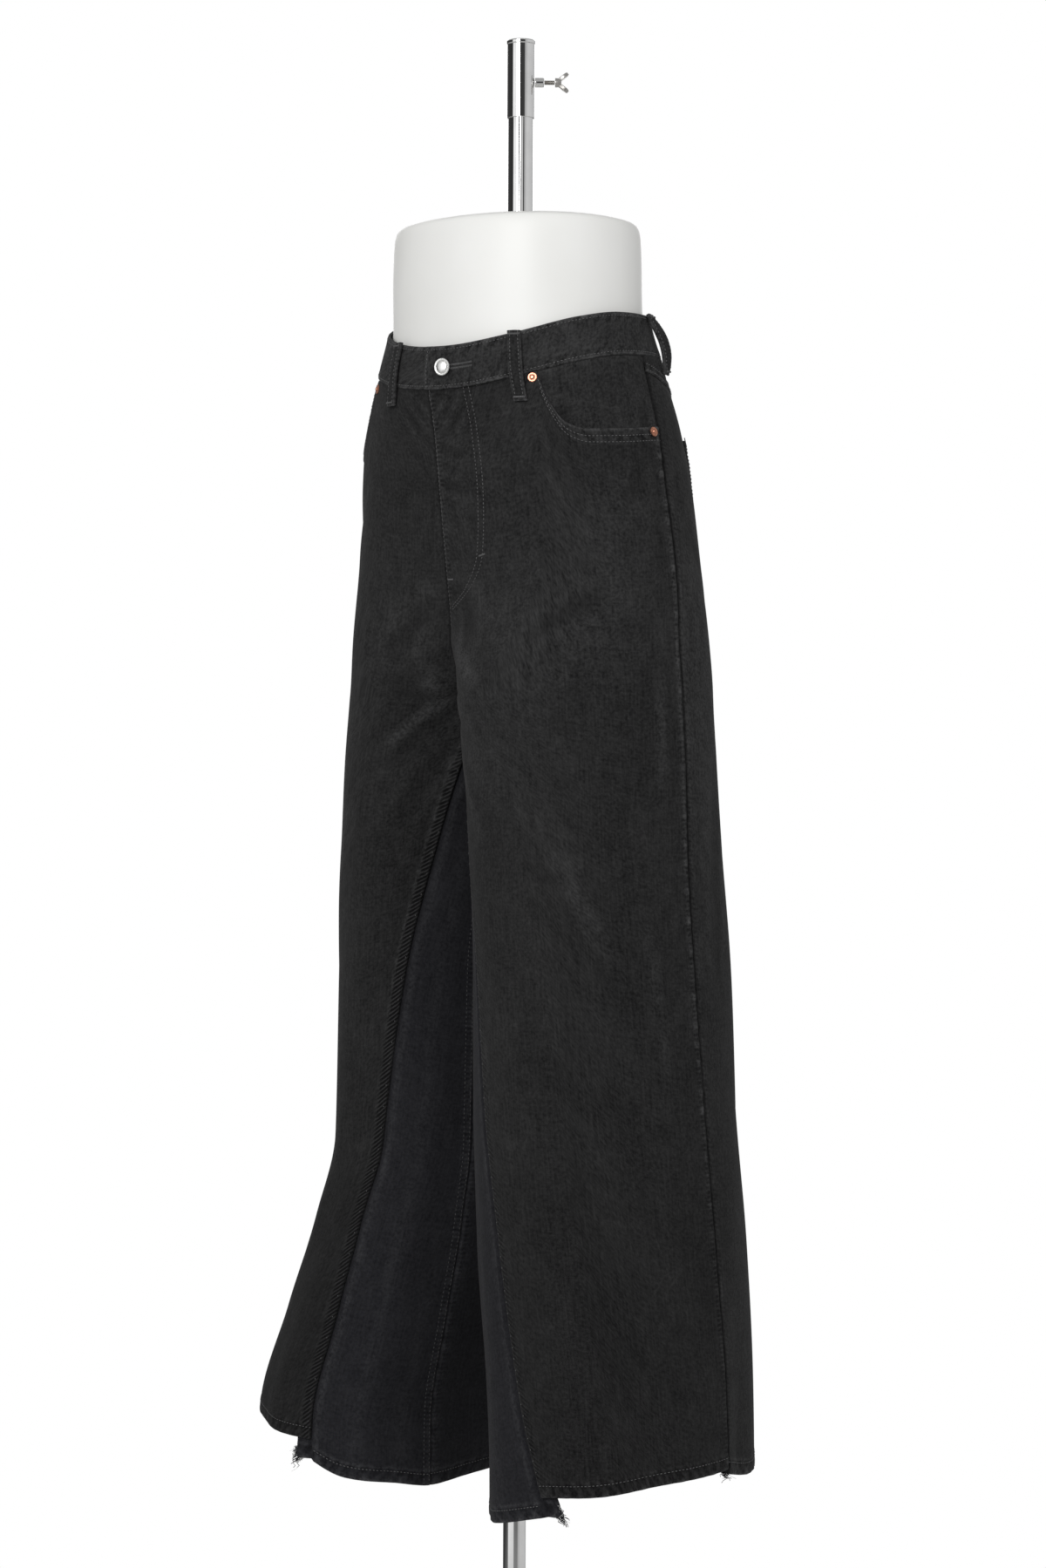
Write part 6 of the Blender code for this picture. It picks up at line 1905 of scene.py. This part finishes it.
def surroundings():
    """White behind, grey for light, and walls that only polished metal mirrors."""
    world = bpy.data.worlds.new("white room")
    world.use_nodes = True
    tree = world.node_tree
    path = tree.nodes.new("ShaderNodeLightPath")
    light = blended(tree, path.outputs["Is Camera Ray"], (0.41, 0.41, 0.41, 1), (1, 1, 1, 1))
    around = tree.nodes.new("ShaderNodeTexCoord").outputs["Generated"]
    split = tree.nodes.new("ShaderNodeSeparateXYZ")
    tree.links.new(around, split.inputs[0])
    x, y, z = split.outputs
    beside, toward = (weighed(tree, x, float(axis[0]), y, float(axis[1])) for axis in (BESIDE, SIGHT))
    turned_by = calculated(tree, "ARCTAN2", beside, toward)
    walls = tree.nodes.new("ShaderNodeValToRGB")
    ramp = walls.color_ramp
    for degrees, tone in MIRRORED_WALLS:
        place = (degrees + 180) / 360
        stop = ramp.elements[0] if degrees == -180 else ramp.elements.new(place)
        stop.position, stop.color = place, (tone, tone, tone * 1.01, 1)
    ramp.elements.remove(ramp.elements[-1])
    linked(tree, rescaled(tree, turned_by, -math.pi, math.pi), walls.inputs[0])
    level = rescaled(tree, calculated(tree, "ABSOLUTE", z), 0.26, 0.38, 1.0, 0.0)
    mirrored = calculated(tree, "MULTIPLY", path.outputs["Is Glossy Ray"], level)
    tree.links.new(blended(tree, mirrored, light, walls.outputs[0]), tree.nodes["Background"].inputs["Color"])
    bpy.context.scene.world = world
    bpy.context.scene.view_settings.view_transform = "Standard"


def pale_floor():
    material, tree, shader = fresh_material("pale floor")
    place = tree.nodes.new("ShaderNodeTexCoord").outputs["Object"]
    tone = stretched_noise(tree, place, (4, 4, 4), 3.0, 0.5)
    color = blended(tree, tone, (0.86, 0.86, 0.85, 1), (0.90, 0.90, 0.89, 1))
    tree.links.new(color, shader.inputs["Base Color"])
    shader.inputs["Roughness"].default_value = 0.7
    profile = ((0, -0.0005), (0.47, -0.0005), (0.475, -0.003), (0, -0.003))
    floor = turned("floor_disc", profile, material, 128)
    floor.visible_glossy = False


def studio():
    camera()
    for row in SOFT_LIGHTS:
        soft_light(*row)
    surroundings()
    pale_floor()


def main():
    twill, metal = washed_twill(), handled_metal()
    materials = {key: denim_material(name, twill, *look) for key, name, *look in DENIMS}
    materials |= {key: thread_material(name, *look) for key, name, *look in THREADS}
    materials |= {key: metal_material(name, metal, *look) for key, name, *look in METALS}
    materials["form"] = form_material()
    trim(materials, dress(materials))
    stand(materials)
    studio()


main()
